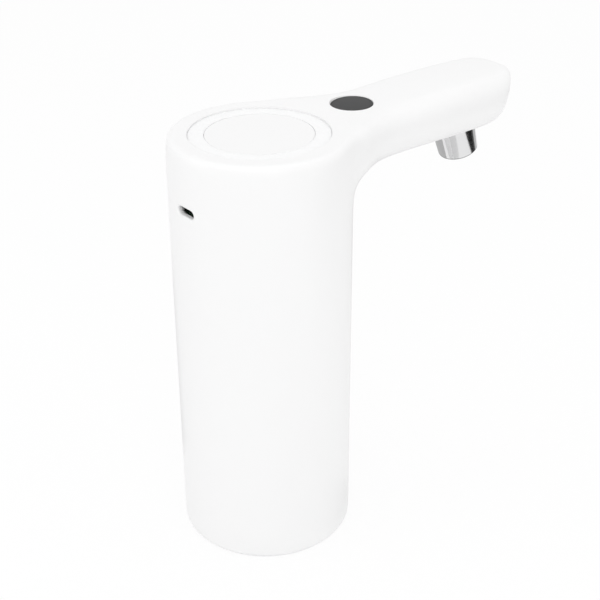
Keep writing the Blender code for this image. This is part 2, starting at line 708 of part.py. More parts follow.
def make_button_board():
    """Small round board under the frame that carries the switch and the ring's lights."""
    green = material("button_board", (0.03, 0.16, 0.08), 0.45)
    top = BUTTON_BOARD_TOP
    return add_object("button_board", rod(BUTTON_BOARD_RADIUS, top - BOARD_THICKNESS, top), green)


def make_push_switch():
    """Square push switch with its round plunger."""
    black = material("push_switch", (0.05, 0.05, 0.05), 0.4)
    bottom = BUTTON_BOARD_TOP + FIT_GAP
    half = SWITCH_WIDTH / 2
    body_top = bottom + SWITCH_BODY_HEIGHT
    switch = add_object("push_switch", block((-half, -half, bottom), (half, half, body_top)), black)
    plunger = rod(SWITCH_TIP_RADIUS, body_top - SWITCH_TIP_HEIGHT, SWITCH_TOP, COARSE_SIDES)
    return join(switch, "Plunger", plunger)


def make_display():
    """Dark window in the arm's root, the lit module under it and the module's board."""
    place = (DISPLAY_CENTRE, 0, DISPLAY_HEIGHT)
    dark = material("display_window", (0.10, 0.10, 0.11), 0.12)
    add_object("display_window", rod(DISPLAY_RADIUS, -WINDOW_THICKNESS, 0), dark, place, DISPLAY_TILT)
    black = material("display_module", (0.03, 0.03, 0.03), 0.5)
    module_top = -WINDOW_THICKNESS - FIT_GAP
    module_bottom = module_top - MODULE_THICKNESS
    add_object("display_module", rod(DISPLAY_RADIUS, module_bottom, module_top), black, place, DISPLAY_TILT)
    green = material("display_board", (0.03, 0.16, 0.08), 0.45)
    board_top = module_bottom - FIT_GAP
    board = block((-DISPLAY_BOARD_LENGTH / 2, -DISPLAY_BOARD_WIDTH / 2, board_top - DISPLAY_BOARD_THICKNESS),
                  (DISPLAY_BOARD_LENGTH / 2, DISPLAY_BOARD_WIDTH / 2, board_top))
    add_object("display_board", board, green, place, DISPLAY_TILT)


# Electronics in the upper body


def half_disc(radius, straight_edge):
    """Plan of a disc cut off along a line of constant X, the arm's side left out."""
    limit = math.acos(straight_edge / radius)
    return arc((0, 0), radius, limit, math.tau - limit, ROUND_SIDES)


def make_main_board():
    """Main board across the back half of the body, with the parts soldered on it."""
    green = material("main_board", (0.03, 0.16, 0.08), 0.45)
    top = MAIN_BOARD_TOP
    add_object("main_board", prism(half_disc(BOARD_RADIUS, BOARD_CUT), top - BOARD_THICKNESS, top), green)
    seat = top + FIT_GAP
    half_chip = CHIP_WIDTH / 2
    chip = block((-half_chip, -half_chip, 0), (half_chip, half_chip, CHIP_HEIGHT))
    black = material("controller_chip", (0.02, 0.02, 0.02), 0.4)
    add_object("controller_chip", chip, black, (*CHIP_PLACE, seat))
    blue = material("capacitor", (0.05, 0.08, 0.20), 0.35)
    capacitor = rod(CAPACITOR_RADIUS, 0, CAPACITOR_HEIGHT, COARSE_SIDES)
    add_object("capacitor", capacitor, blue, (*CAPACITOR_PLACE, seat))
    ivory = material("lead_connector", (0.80, 0.78, 0.70), 0.45)
    connector = block((-CONNECTOR_LENGTH / 2, -CONNECTOR_WIDTH / 2, 0),
                      (CONNECTOR_LENGTH / 2, CONNECTOR_WIDTH / 2, CONNECTOR_HEIGHT))
    add_object("lead_connector", connector, ivory, (*CONNECTOR_PLACE, seat))


def make_charge_socket():
    """Steel shell of the charging socket behind the slot, and the tongue inside it."""
    steel = material("charge_socket", (0.60, 0.61, 0.62), 0.3, 1.0)
    mouth = -BAY_RADIUS + FIT_GAP
    place = (mouth, 0, PORT_HEIGHT)
    half_width = SOCKET_WIDTH / 2
    half_height = SOCKET_HEIGHT / 2
    shell = block((0, -half_width, -half_height), (SOCKET_LENGTH, half_width, half_height))
    socket = add_object("charge_socket", shell, steel, place)
    pocket = block((-CUT_OVERRUN, SOCKET_SHELL - half_width, SOCKET_SHELL - half_height),
                   (SOCKET_LENGTH - SOCKET_SHELL, half_width - SOCKET_SHELL, half_height - SOCKET_SHELL))
    cut(socket, "Socket pocket", pocket, place)
    black = material("socket_tongue", (0.03, 0.03, 0.03), 0.45)
    root = SOCKET_LENGTH - SOCKET_SHELL - FIT_GAP
    tongue = block((root - TONGUE_LENGTH, -TONGUE_WIDTH / 2, -TONGUE_THICKNESS / 2),
                   (root, TONGUE_WIDTH / 2, TONGUE_THICKNESS / 2))
    add_object("socket_tongue", tongue, black, place)


def make_battery_cell():
    """Round lithium cell with its raised contact."""
    blue = material("battery_cell", (0.05, 0.22, 0.55), 0.4)
    top = CELL_LENGTH - CELL_CAP_HEIGHT
    profile = [
        (0, CELL_LENGTH), (CELL_CAP_RADIUS, CELL_LENGTH), (CELL_CAP_RADIUS, top),
        (CELL_RADIUS - CELL_EDGE, top), (CELL_RADIUS, top - CELL_EDGE), (CELL_RADIUS, CELL_EDGE),
        (CELL_RADIUS - CELL_EDGE, 0), (0, 0),
    ]
    return add_object("battery_cell", turned(profile), blue, (CELL_AXIS, 0, CELL_BOTTOM))


def make_inner_frame():
    """Upright frame with a shelf for the board, cradles for the cell and a saddle for the motor."""
    grey = material("inner_frame", (0.75, 0.76, 0.77), 0.5)
    back = SPINE_CENTRE - SPINE_THICKNESS / 2
    front = SPINE_CENTRE + SPINE_THICKNESS / 2
    foot = BASE_PLATE_TOP + FIT_GAP
    spine_half_width = BAY_RADIUS - SPINE_SIDE_ROOM
    spine_top = SHELF_BOTTOM + SHELF_THICKNESS / 2
    spine = block((back, -spine_half_width, foot), (front, spine_half_width, spine_top))
    frame = add_object("inner_frame", spine, grey)
    join(frame, "Shelf", prism(half_disc(SHELF_RADIUS, front), SHELF_BOTTOM, SHELF_TOP))
    cradle_half_width = CELL_RADIUS + CRADLE_WALL
    for name, height in (("Lower cradle", CELL_BOTTOM + CRADLE_INSET),
                         ("Middle cradle", CELL_BOTTOM + CELL_LENGTH / 2),
                         ("Upper cradle", CELL_TOP - CRADLE_INSET)):
        cradle = block((CELL_AXIS - CRADLE_WRAP, -cradle_half_width, height),
                       (SPINE_CENTRE, cradle_half_width, height + CRADLE_THICKNESS))
        join(frame, name, cradle)
    saddle_half_width = MOTOR_RADIUS + SADDLE_WALL
    saddle_bottom = MOTOR_BOTTOM + SADDLE_LIFT
    saddle = block((SPINE_CENTRE, -saddle_half_width, saddle_bottom),
                   (MOTOR_AXIS - SADDLE_WRAP, saddle_half_width, saddle_bottom + CRADLE_THICKNESS))
    join(frame, "Saddle", saddle)
    cell_space = rod(CELL_RADIUS + FIT_GAP, CELL_BOTTOM - FIT_GAP, CELL_TOP + FIT_GAP)
    cut(frame, "Cell space", cell_space, (CELL_AXIS, 0, 0))
    motor_space = rod(MOTOR_RADIUS + FIT_GAP, MOTOR_BOTTOM, MOTOR_BOTTOM + MOTOR_LENGTH)
    cut(frame, "Motor space", motor_space, (MOTOR_AXIS, 0, 0))
    lead_slot = rod(LEAD_SLOT_RADIUS, SHELF_BOTTOM - CUT_OVERRUN, SHELF_TOP + CUT_OVERRUN, COARSE_SIDES)
    cut(frame, "Lead slot", lead_slot, (CELL_AXIS, 0, 0))
    cut(frame, "Lead channel", rod(LEAD_RADIUS + FIT_GAP, CELL_BOTTOM, SHELF_TOP + CUT_OVERRUN, COARSE_SIDES),
        (CELL_AXIS, cell_lead_offset(), 0))
    pump_half_width = pump_lobe_radius() + 2 * FIT_GAP
    pump_space = block((back - CUT_OVERRUN, -pump_half_width, foot - CUT_OVERRUN),
                       (front + CUT_OVERRUN, pump_half_width, MOTOR_BOTTOM + FIT_GAP))
    cut(frame, "Pump space", pump_space)
    return frame


# Motor


def make_motor():
    """Small direct-current motor: can, magnets, bushing, end cap and the rotor on its shaft."""
    place = (MOTOR_AXIS, 0, MOTOR_BOTTOM)
    steel = material("motor_can", (0.62, 0.63, 0.64), 0.3, 1.0)
    bore = BUSHING_RADIUS + FIT_GAP
    inner = MOTOR_RADIUS - CAN_WALL
    can = [
        (inner, MOTOR_LENGTH), (MOTOR_RADIUS, MOTOR_LENGTH), (MOTOR_RADIUS, 0), (BOSS_RADIUS, 0),
        (BOSS_RADIUS, -BOSS_LENGTH), (bore, -BOSS_LENGTH), (bore, CAN_WALL), (inner, CAN_WALL),
    ]
    add_object("motor_can", turned(can), steel, place)
    bronze = material("front_bushing", (0.55, 0.38, 0.20), 0.35, 1.0)
    shaft_bore = SHAFT_RADIUS + FIT_GAP
    bushing = sleeve(BUSHING_RADIUS, shaft_bore, -BOSS_LENGTH, 2 * CAN_WALL, COARSE_SIDES)
    add_object("front_bushing", bushing, bronze, place)

    magnet_outer = inner - FIT_GAP
    magnet_inner = magnet_outer - MAGNET_THICKNESS
    magnet_bottom = (MOTOR_LENGTH - MAGNET_LENGTH) / 2
    black = material("motor_magnets", (0.08, 0.08, 0.09), 0.6)
    for name, middle in (("magnet_left", math.pi / 2), ("magnet_right", -math.pi / 2)):
        start = middle - MAGNET_ANGLE / 2
        end = middle + MAGNET_ANGLE / 2
        outline = arc((0, 0), magnet_outer, start, end, MAGNET_STEPS)
        outline += arc((0, 0), magnet_inner, end, start, MAGNET_STEPS)
        add_object(name, prism(outline, magnet_bottom, magnet_bottom + MAGNET_LENGTH), black, place)

    white = material("motor_end_cap", (0.85, 0.85, 0.83), 0.45)
    plug = inner - FIT_GAP
    cap_boss_top = END_CAP_THICKNESS + END_CAP_BOSS_LENGTH
    cap = [
        (shaft_bore, cap_boss_top), (END_CAP_BOSS_RADIUS, cap_boss_top),
        (END_CAP_BOSS_RADIUS, END_CAP_THICKNESS), (MOTOR_RADIUS, END_CAP_THICKNESS), (MOTOR_RADIUS, FIT_GAP),
        (plug, FIT_GAP), (plug, -END_CAP_THICKNESS / 2), (shaft_bore, -END_CAP_THICKNESS / 2),
    ]
    add_object("motor_end_cap", turned(cap), white, (MOTOR_AXIS, 0, MOTOR_BOTTOM + MOTOR_LENGTH))

    iron = material("motor_rotor", (0.35, 0.30, 0.26), 0.45, 0.8)
    armature_radius = magnet_inner - ARMATURE_GAP
    armature_bottom = (MOTOR_LENGTH - ARMATURE_LENGTH) / 2
    armature_top = armature_bottom + ARMATURE_LENGTH
    shaft_bottom = GEAR_BOTTOM - MOTOR_BOTTOM
    shaft_top = MOTOR_LENGTH + END_CAP_THICKNESS + END_CAP_BOSS_LENGTH
    rotor_profile = [
        (0, shaft_top), (SHAFT_RADIUS, shaft_top), (SHAFT_RADIUS, armature_top + COMMUTATOR_LENGTH),
        (COMMUTATOR_RADIUS, armature_top + COMMUTATOR_LENGTH), (COMMUTATOR_RADIUS, armature_top),
        (armature_radius, armature_top), (armature_radius, armature_bottom), (SHAFT_RADIUS, armature_bottom),
        (SHAFT_RADIUS, shaft_bottom), (0, shaft_bottom),
    ]
    rotor = add_object("motor_rotor", turned(rotor_profile), iron, place)
    for index in range(SLOT_COUNT):
        slot = block((armature_radius - SLOT_DEPTH, -SLOT_WIDTH / 2, armature_bottom - CUT_OVERRUN),
                     (armature_radius + CUT_OVERRUN, SLOT_WIDTH / 2, armature_top + SHAFT_RADIUS))
        turn = Matrix.Rotation(math.tau * index / SLOT_COUNT, 4, "Z")
        bmesh.ops.transform(slot, matrix=turn, verts=slot.verts)
        cut(rotor, f"Winding slot {index}", slot, place)


def lead(name, colour, places):
    """Insulated wire along a smooth curve through its places."""
    curve = bpy.data.curves.new(name, "CURVE")
    curve.dimensions = "3D"
    curve.bevel_depth = LEAD_RADIUS
    curve.bevel_resolution = 1
    curve.use_fill_caps = True
    ends = [places[0]] + places + [places[-1]]
    points = []
    for before, start, end, after in zip(ends, ends[1:], ends[2:], ends[3:]):
        for step in range(LEAD_STEPS):
            t = step / LEAD_STEPS
            bend = before * 2 - start * 5 + end * 4 - after
            twist = start * 3 - before - end * 3 + after
            points.append(start + ((end - before) * t + bend * t ** 2 + twist * t ** 3) / 2)
    points.append(places[-1])
    spline = curve.splines.new("POLY")
    spline.points.add(len(points) - 1)
    for target, point in zip(spline.points, points):
        target.co = (*point, 1.0)
    curve.materials.append(material(name, colour, 0.5))
    made = bpy.data.objects.new(name, curve)
    bpy.context.collection.objects.link(made)
    return made


def cell_lead_offset():
    return CELL_RADIUS + LEAD_RADIUS + FIT_GAP


def make_leads():
    """Wires from the cell and the motor up to the connector on the main board."""
    red = (0.55, 0.03, 0.03)
    black = (0.03, 0.03, 0.03)
    plug_x = CONNECTOR_PLACE[0] + CONNECTOR_LENGTH / 2 + LEAD_RADIUS + FIT_GAP
    plug_z = MAIN_BOARD_TOP + FIT_GAP + CONNECTOR_HEIGHT / 2
    cap_top = MOTOR_BOTTOM + MOTOR_LENGTH + END_CAP_THICKNESS + FIT_GAP
    pitch = CONNECTOR_WIDTH / 2
    for name, colour, side in (("motor_lead_red", red, -1), ("motor_lead_black", black, 1)):
        plug_y = CONNECTOR_PLACE[1] + side * pitch / 2
        terminal = Vector((MOTOR_AXIS, side * TERMINAL_OFFSET, cap_top))
        rise = Vector((LEAD_REACH, plug_y, terminal.z + LEAD_REACH))
        turn = Vector((LEAD_REACH, plug_y, plug_z - LEAD_REACH))
        socket = Vector((plug_x, plug_y, plug_z))
        lead(name, colour, [terminal, terminal + Vector((0, 0, LEAD_REACH / 2)), rise, turn, socket])
    solder = MAIN_BOARD_TOP - BOARD_THICKNESS - FIT_GAP
    cell_top = Vector((CELL_AXIS, 0, CELL_TOP + FIT_GAP))
    lead("cell_lead_red", red, [cell_top, cell_top.lerp(Vector((CELL_AXIS, LEAD_RADIUS, solder)), 1 / 2),
                                Vector((CELL_AXIS, 0, solder))])
    under = CELL_BOTTOM - LEAD_RADIUS - FIT_GAP
    corner = 2 * LEAD_RADIUS
    beside = cell_lead_offset()
    lead("cell_lead_black", black, [Vector((CELL_AXIS, CELL_RADIUS / 4, under)),
                                    Vector((CELL_AXIS, beside - corner, under)),
                                    Vector((CELL_AXIS, beside, under + corner)),
                                    Vector((CELL_AXIS, beside, CELL_BOTTOM + CELL_LENGTH / 2)),
                                    Vector((CELL_AXIS, beside, solder))])


# Gear pump


def gear_tip_radius():
    return GEAR_MODULE * (GEAR_TEETH / 2 + ADDENDUM_SHARE)


def pump_lobe_radius():
    return gear_tip_radius() + CHAMBER_CLEARANCE + PUMP_WALL


def involute(radius, base_radius):
    """Involute function of the pressure angle at a radius outside the base circle."""
    angle = math.acos(base_radius / radius)
    return math.tan(angle) - angle


def gear_outline(turn):
    """Outline of an involute gear whose first tooth points at the given angle."""
    pitch_radius = GEAR_MODULE * GEAR_TEETH / 2
    base_radius = pitch_radius * math.cos(PRESSURE_ANGLE)
    root_radius = pitch_radius - DEDENDUM_SHARE * GEAR_MODULE
    tip_radius = gear_tip_radius()
    half_tooth = math.pi / (2 * GEAR_TEETH) - BACKLASH / (2 * pitch_radius)
    at_pitch = half_tooth + involute(pitch_radius, base_radius)
    flank = [(root_radius, at_pitch)]
    for step in range(FLANK_STEPS + 1):
        radius = base_radius + (tip_radius - base_radius) * step / FLANK_STEPS
        flank.append((radius, at_pitch - involute(radius, base_radius)))
    points = []
    for tooth in range(GEAR_TEETH):
        middle = turn + math.tau * tooth / GEAR_TEETH
        points += [(radius, middle - half) for radius, half in flank]
        points += [(radius, middle + half) for radius, half in reversed(flank)]
    return [(radius * math.cos(angle), radius * math.sin(angle)) for radius, angle in points]


def make_gears():
    """Drive gear on the motor's shaft, idler gear on its pin."""
    white = material("pump_gears", (0.86, 0.84, 0.78), 0.4)
    length = GEAR_LENGTH
    bore_radius = SHAFT_RADIUS + FIT_GAP
    half_pitch = math.pi / GEAR_TEETH
    for name, axis, turn in (("drive_gear", MOTOR_AXIS, 0), ("idler_gear", IDLER_AXIS, half_pitch)):
        place = (axis, 0, GEAR_BOTTOM)
        gear = add_object(name, prism(gear_outline(turn), 0, length), white, place)
        cut(gear, f"{name} bore", rod(bore_radius, -CUT_OVERRUN, length + CUT_OVERRUN, COARSE_SIDES), place)
    steel = material("idler_pin", (0.65, 0.66, 0.67), 0.25, 1.0)
    pin_bottom = PUMP_COVER_BOTTOM + PUMP_COVER_THICKNESS / 2
    pin_top = CHAMBER_TOP + PUMP_CEILING / 2
    add_object("idler_pin", rod(SHAFT_RADIUS, pin_bottom, pin_top, COARSE_SIDES), steel, (IDLER_AXIS, 0, 0))


def figure_eight(radius):
    """Stadium around both gear axes."""
    quarter = math.pi / 2
    points = arc((MOTOR_AXIS, 0), radius, -quarter, quarter, COARSE_SIDES)
    return points + arc((IDLER_AXIS, 0), radius, quarter, 3 * quarter, COARSE_SIDES)


def make_pump_cover():
    """Plate under the gears with the inlet port."""
    grey = material("pump_cover", (0.16, 0.17, 0.18), 0.45)
    top = PUMP_COVER_BOTTOM + PUMP_COVER_THICKNESS
    cover = add_object("pump_cover", prism(figure_eight(pump_lobe_radius()), PUMP_COVER_BOTTOM, top), grey)
    pin_seat = PUMP_COVER_BOTTOM + PUMP_COVER_THICKNESS / 2 - FIT_GAP
    cut(cover, "Lower pin seat", rod(SHAFT_RADIUS + FIT_GAP, pin_seat, top + CUT_OVERRUN, COARSE_SIDES),
        (IDLER_AXIS, 0, 0))
    inlet_port = rod(PORT_RADIUS, PUMP_COVER_BOTTOM - CUT_OVERRUN, top + CUT_OVERRUN, COARSE_SIDES)
    cut(cover, "Inlet port", inlet_port, (MESH_LINE, -port_offset(), 0))
    return cover


def port_offset():
    """Distance of the ports from the line through both gear axes."""
    return gear_tip_radius() - PORT_RADIUS / 2


def make_pump_body():
    """Pump body with the gear chamber, the seal's pocket and the outlet tower beside the motor."""
    grey = material("pump_body", (0.18, 0.19, 0.20), 0.45)
    bottom = GEAR_BOTTOM
    top = PUMP_TOP
    body = add_object("pump_body", prism(figure_eight(pump_lobe_radius()), bottom, top), grey)
    passage_height = bottom + GEAR_LENGTH / 2
    bridge = block((MESH_LINE - OUTLET_TOWER_RADIUS, 0, bottom),
                   (MESH_LINE + OUTLET_TOWER_RADIUS, OUTLET_OFFSET, top))
    join(body, "Outlet bridge", bridge)
    join(body, "Outlet tower", rod(OUTLET_TOWER_RADIUS, bottom, top), (MESH_LINE, OUTLET_OFFSET, 0))
    spigot_top = top + SPIGOT_LENGTH
    spigot = turned([
        (0, spigot_top), (SPIGOT_RADIUS - FIT_GAP, spigot_top), (SPIGOT_RADIUS, spigot_top - BARB_RISE),
        (SPIGOT_RADIUS, top - BARB_RISE), (0, top - BARB_RISE),
    ], COARSE_SIDES)
    join(body, "Outlet spigot", spigot, (MESH_LINE, OUTLET_OFFSET, 0))
    chamber_radius = gear_tip_radius() + CHAMBER_CLEARANCE
    for name, axis in (("Drive chamber", MOTOR_AXIS), ("Idler chamber", IDLER_AXIS)):
        cut(body, name, rod(chamber_radius, bottom - CUT_OVERRUN, CHAMBER_TOP), (axis, 0, 0))
    waist = block((MESH_LINE - PORT_RADIUS, -port_offset() - PORT_RADIUS / 2, bottom - CUT_OVERRUN),
                  (MESH_LINE + PORT_RADIUS, port_offset() + PORT_RADIUS / 2, CHAMBER_TOP))
    cut(body, "Port pockets", waist)
    shaft_hole = rod(SHAFT_RADIUS + FIT_GAP, bottom, top + CUT_OVERRUN, COARSE_SIDES)
    cut(body, "Shaft hole", shaft_hole, (MOTOR_AXIS, 0, 0))
    cut(body, "Seal pocket", rod(SEAL_RADIUS, top - SEAL_POCKET_DEPTH, top + CUT_OVERRUN), (MOTOR_AXIS, 0, 0))
    pin_seat = rod(SHAFT_RADIUS + FIT_GAP, bottom, CHAMBER_TOP + PUMP_CEILING / 2 + FIT_GAP, COARSE_SIDES)
    cut(body, "Upper pin seat", pin_seat, (IDLER_AXIS, 0, 0))
    cut(body, "Outlet passage", swept([Vector((MESH_LINE, port_offset(), passage_height)),
                                       Vector((MESH_LINE, OUTLET_OFFSET, passage_height))],
                                      PASSAGE_RADIUS, COARSE_SIDES))
    bore_bottom = passage_height - 2 * PASSAGE_RADIUS
    outlet_bore = rod(SPIGOT_BORE, bore_bottom, spigot_top + CUT_OVERRUN, COARSE_SIDES)
    cut(body, "Outlet bore", outlet_bore, (MESH_LINE, OUTLET_OFFSET, 0))
    return body


def make_shaft_seal():
    """Rubber seal around the shaft, between the gears and the motor."""
    rubber = material("shaft_seal", (0.04, 0.04, 0.04), 0.7)
    bottom = PUMP_TOP - SEAL_POCKET_DEPTH + FIT_GAP
    seal = sleeve(SEAL_RADIUS - FIT_GAP, SHAFT_RADIUS + FIT_GAP, bottom, bottom + SEAL_THICKNESS,
                  COARSE_SIDES)
    return add_object("shaft_seal", seal, rubber, (MOTOR_AXIS, 0, 0))


# Neck end


def make_base_plate():
    """Plate that closes the body above the bottle's neck."""
    white = material("base_plate", (0.82, 0.83, 0.84), 0.4)
    top = BASE_PLATE_TOP
    plate_radius = SOCKET_RADIUS - FIT_GAP
    lip_radius = BAY_RADIUS - FIT_GAP
    profile = [
        (0, top), (lip_radius - BASE_LIP_WIDTH, top), (lip_radius - BASE_LIP_WIDTH, top + BASE_LIP_HEIGHT),
        (lip_radius, top + BASE_LIP_HEIGHT), (lip_radius, top), (plate_radius, top),
        (plate_radius, NECK_DEPTH), (0, NECK_DEPTH),
    ]
    plate = add_object("base_plate", turned(profile, PLATE_SIDES), white)
    hole = rod(INLET_RADIUS + FIT_GAP, NECK_DEPTH - CUT_OVERRUN, top + CUT_OVERRUN)
    return cut(plate, "Inlet hole", hole, (MESH_LINE, -port_offset(), 0))


def make_neck_seal():
    """Silicone ring under the base plate that rests on the bottle's mouth."""
    silicone = material("neck_seal", (0.75, 0.76, 0.77), 0.6)
    outer = SOCKET_RADIUS - FIT_GAP
    top = NECK_DEPTH - FIT_GAP
    ring = sleeve(outer, outer - SEAL_RING_WIDTH, top - SEAL_RING_THICKNESS, top, PLATE_SIDES)
    return add_object("neck_seal", ring, silicone)


def make_inlet_barb():
    """Inlet fitting: a flange on the base plate and a barbed stem that takes the drop hose."""
    white = material("inlet_barb", (0.80, 0.81, 0.82), 0.4)
    flange_bottom = BASE_PLATE_TOP + FIT_GAP
    flange_top_height = flange_bottom + INLET_FLANGE_THICKNESS
    fitting_top = PUMP_COVER_BOTTOM - FIT_GAP
    end = NECK_DEPTH - INLET_LENGTH
    profile = [
        (INLET_BORE, fitting_top), (INLET_RADIUS, fitting_top), (INLET_RADIUS, flange_top_height),
        (INLET_FLANGE_RADIUS, flange_top_height), (INLET_FLANGE_RADIUS, flange_bottom),
        (INLET_RADIUS, flange_bottom),
    ]
    pitch = (NECK_DEPTH - FIT_GAP - SEAL_RING_THICKNESS - end) / INLET_BARBS
    for index in range(INLET_BARBS):
        barb_top = end + pitch * (INLET_BARBS - index)
        profile.append((INLET_RADIUS, barb_top))
        profile.append((INLET_RADIUS - BARB_RISE, barb_top - pitch))
    profile.append((INLET_BORE, end))
    return add_object("inlet_barb", turned(profile, COARSE_SIDES), white, (MESH_LINE, -port_offset(), 0))


# Water path in the arm


def bend_points(start, end):
    """Smooth bend of the outlet tube from upright to level."""
    upright_pull, level_pull = TUBE_BEND_PULL_SHARES
    span = (end - start).length
    first = start + Vector((0, 0, upright_pull * span))
    second = end - Vector((level_pull * span, 0, 0))
    points = []
    for step in range(TUBE_BEND_STEPS + 1):
        t = step / TUBE_BEND_STEPS
        s = 1 - t
        points.append(start * s ** 3 + first * (3 * s * s * t) + second * (3 * s * t * t) + end * t ** 3)
    return points


def make_outlet_tube():
    """Silicone tube from the pump's outlet up the body and along the arm."""
    silicone = material("outlet_tube", (0.88, 0.88, 0.86), 0.5)
    foot = Vector((MESH_LINE, OUTLET_OFFSET, PUMP_TOP + FIT_GAP))
    bend_start = Vector((MESH_LINE, OUTLET_OFFSET, TUBE_RUN_HEIGHT - TUBE_BEND_DROP))
    bend_end = Vector((BODY_RADIUS + TUBE_BEND_REACH, 0, TUBE_RUN_HEIGHT))
    route = [foot] + bend_points(bend_start, bend_end) + [Vector((TUBE_END, 0, TUBE_RUN_HEIGHT))]
    return add_object("outlet_tube", swept(route, TUBE_RADIUS, TUBE_SIDES, TUBE_BORE), silicone)


def along_nozzle(height):
    """Distance from the mouth along the nozzle's axis to a height of the part."""
    return (height - MOUTH_HEIGHT) / math.cos(NOZZLE_TILT)


def make_spout():
    """Elbow, gasket, steel nozzle and flow insert on one tilted axis."""
    place = (MOUTH_REACH, 0, MOUTH_HEIGHT)
    steel = material("spout_nozzle", (0.70, 0.71, 0.72), 0.12, 1.0)
    mouth_bore = MOUTH_RADIUS - MOUTH_WALL
    nozzle = [
        (NOZZLE_BORE, NOZZLE_LENGTH), (NOZZLE_TOP_RADIUS, NOZZLE_LENGTH), (MOUTH_RADIUS, MOUTH_LIP),
        (MOUTH_RADIUS - MOUTH_LIP, 0), (mouth_bore, 0), (mouth_bore, MOUTH_DEPTH), (NOZZLE_BORE, MOUTH_DEPTH),
    ]
    add_object("spout_nozzle", turned(nozzle, PLATE_SIDES), steel, place, NOZZLE_TILT)

    white = material("flow_insert", (0.80, 0.81, 0.82), 0.4)
    insert_top = MOUTH_DEPTH - FIT_GAP
    insert_bottom = insert_top - INSERT_THICKNESS
    insert_radius = mouth_bore - FIT_GAP
    disc = rod(insert_radius, insert_bottom, insert_top)
    insert = add_object("flow_insert", disc, white, place, NOZZLE_TILT)
    for index in range(INSERT_HOLES):
        angle = math.tau * index / INSERT_HOLES
        hole = rod(INSERT_HOLE_RADIUS, insert_bottom - CUT_OVERRUN, insert_top + CUT_OVERRUN, HOLE_SIDES)
        shift = (insert_radius / 2 * math.cos(angle), insert_radius / 2 * math.sin(angle), 0)
        bmesh.ops.translate(hole, verts=hole.verts, vec=shift)
        cut(insert, f"Flow hole {index}", hole, place, NOZZLE_TILT)

    rubber = material("nozzle_gasket", (0.05, 0.05, 0.05), 0.7)
    gasket_bottom = NOZZLE_LENGTH + FIT_GAP
    gasket_top = gasket_bottom + GASKET_THICKNESS
    gasket = sleeve(GASKET_RADIUS, PLUG_RADIUS + FIT_GAP, gasket_bottom, gasket_top)
    add_object("nozzle_gasket", gasket, rubber, place, NOZZLE_TILT)

    grey = material("spout_elbow", (0.70, 0.71, 0.72), 0.45)
    elbow_profile = [
        (0, ELBOW_SEAT + ELBOW_LENGTH), (ELBOW_RADIUS, ELBOW_SEAT + ELBOW_LENGTH), (ELBOW_RADIUS, ELBOW_SEAT),
        (PLUG_RADIUS, ELBOW_SEAT), (PLUG_RADIUS, ELBOW_SEAT - PLUG_LENGTH), (0, ELBOW_SEAT - PLUG_LENGTH),
    ]
    elbow = add_object("spout_elbow", turned(elbow_profile), grey, place, NOZZLE_TILT)
    flange_plan = rounded_rectangle(-ELBOW_FLANGE_REACH, ELBOW_FLANGE_REACH, ELBOW_FLANGE_HALF_WIDTH,
                                    COVER_CORNER)
    flange_bottom = along_nozzle(CHANNEL_FLOOR + FIT_GAP + ELBOW_FLANGE_REACH * math.sin(NOZZLE_TILT))
    join(elbow, "Elbow flange", prism(flange_plan, flange_bottom, flange_bottom + ELBOW_FLANGE_THICKNESS),
         place, NOZZLE_TILT)
    turn_distance = along_nozzle(TUBE_RUN_HEIGHT)
    turn_reach = MOUTH_REACH - turn_distance * math.sin(NOZZLE_TILT)
    turn_point = Vector((turn_reach, 0, TUBE_RUN_HEIGHT))
    spigot_end = Vector((TUBE_END - SPIGOT_LENGTH, 0, TUBE_RUN_HEIGHT))
    join(elbow, "Elbow spigot", swept([turn_point, spigot_end], SPIGOT_RADIUS, COARSE_SIDES))
    beyond_spigot = spigot_end - Vector((CUT_OVERRUN, 0, 0))
    cut(elbow, "Elbow inlet", swept([turn_point, beyond_spigot], SPIGOT_BORE, COARSE_SIDES))
    outlet = rod(ELBOW_BORE, ELBOW_SEAT - PLUG_LENGTH - CUT_OVERRUN, turn_distance + SPIGOT_BORE)
    cut(elbow, "Elbow outlet", outlet, place, NOZZLE_TILT)


def main():
    for old in list(bpy.data.objects):
        bpy.data.objects.remove(old)
    make_housing()
    make_arm_cover()
    make_light_ring()
    make_power_button()
    make_button_spring()
    make_deck_frame()
    make_button_board()
    make_push_switch()
    make_display()
    make_main_board()
    make_charge_socket()
    make_battery_cell()
    make_inner_frame()
    make_motor()
    make_leads()
    make_gears()
    make_pump_cover()
    make_pump_body()
    make_shaft_seal()
    make_base_plate()
    make_neck_seal()
    make_inlet_barb()
    make_outlet_tube()
    make_spout()


main()
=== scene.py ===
"""Bottled water pump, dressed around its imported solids.

The file follows the pump as it is put together: the white housing with its arm, the deck with its
button, the display, the charging port, the spout, the neck end, then the works inside, and last
the studio. Lengths are in metres, the body stands on z = 0 about Z, and the arm points along +X.
"""

import math

import bmesh
import bpy
from mathutils import Matrix, Vector


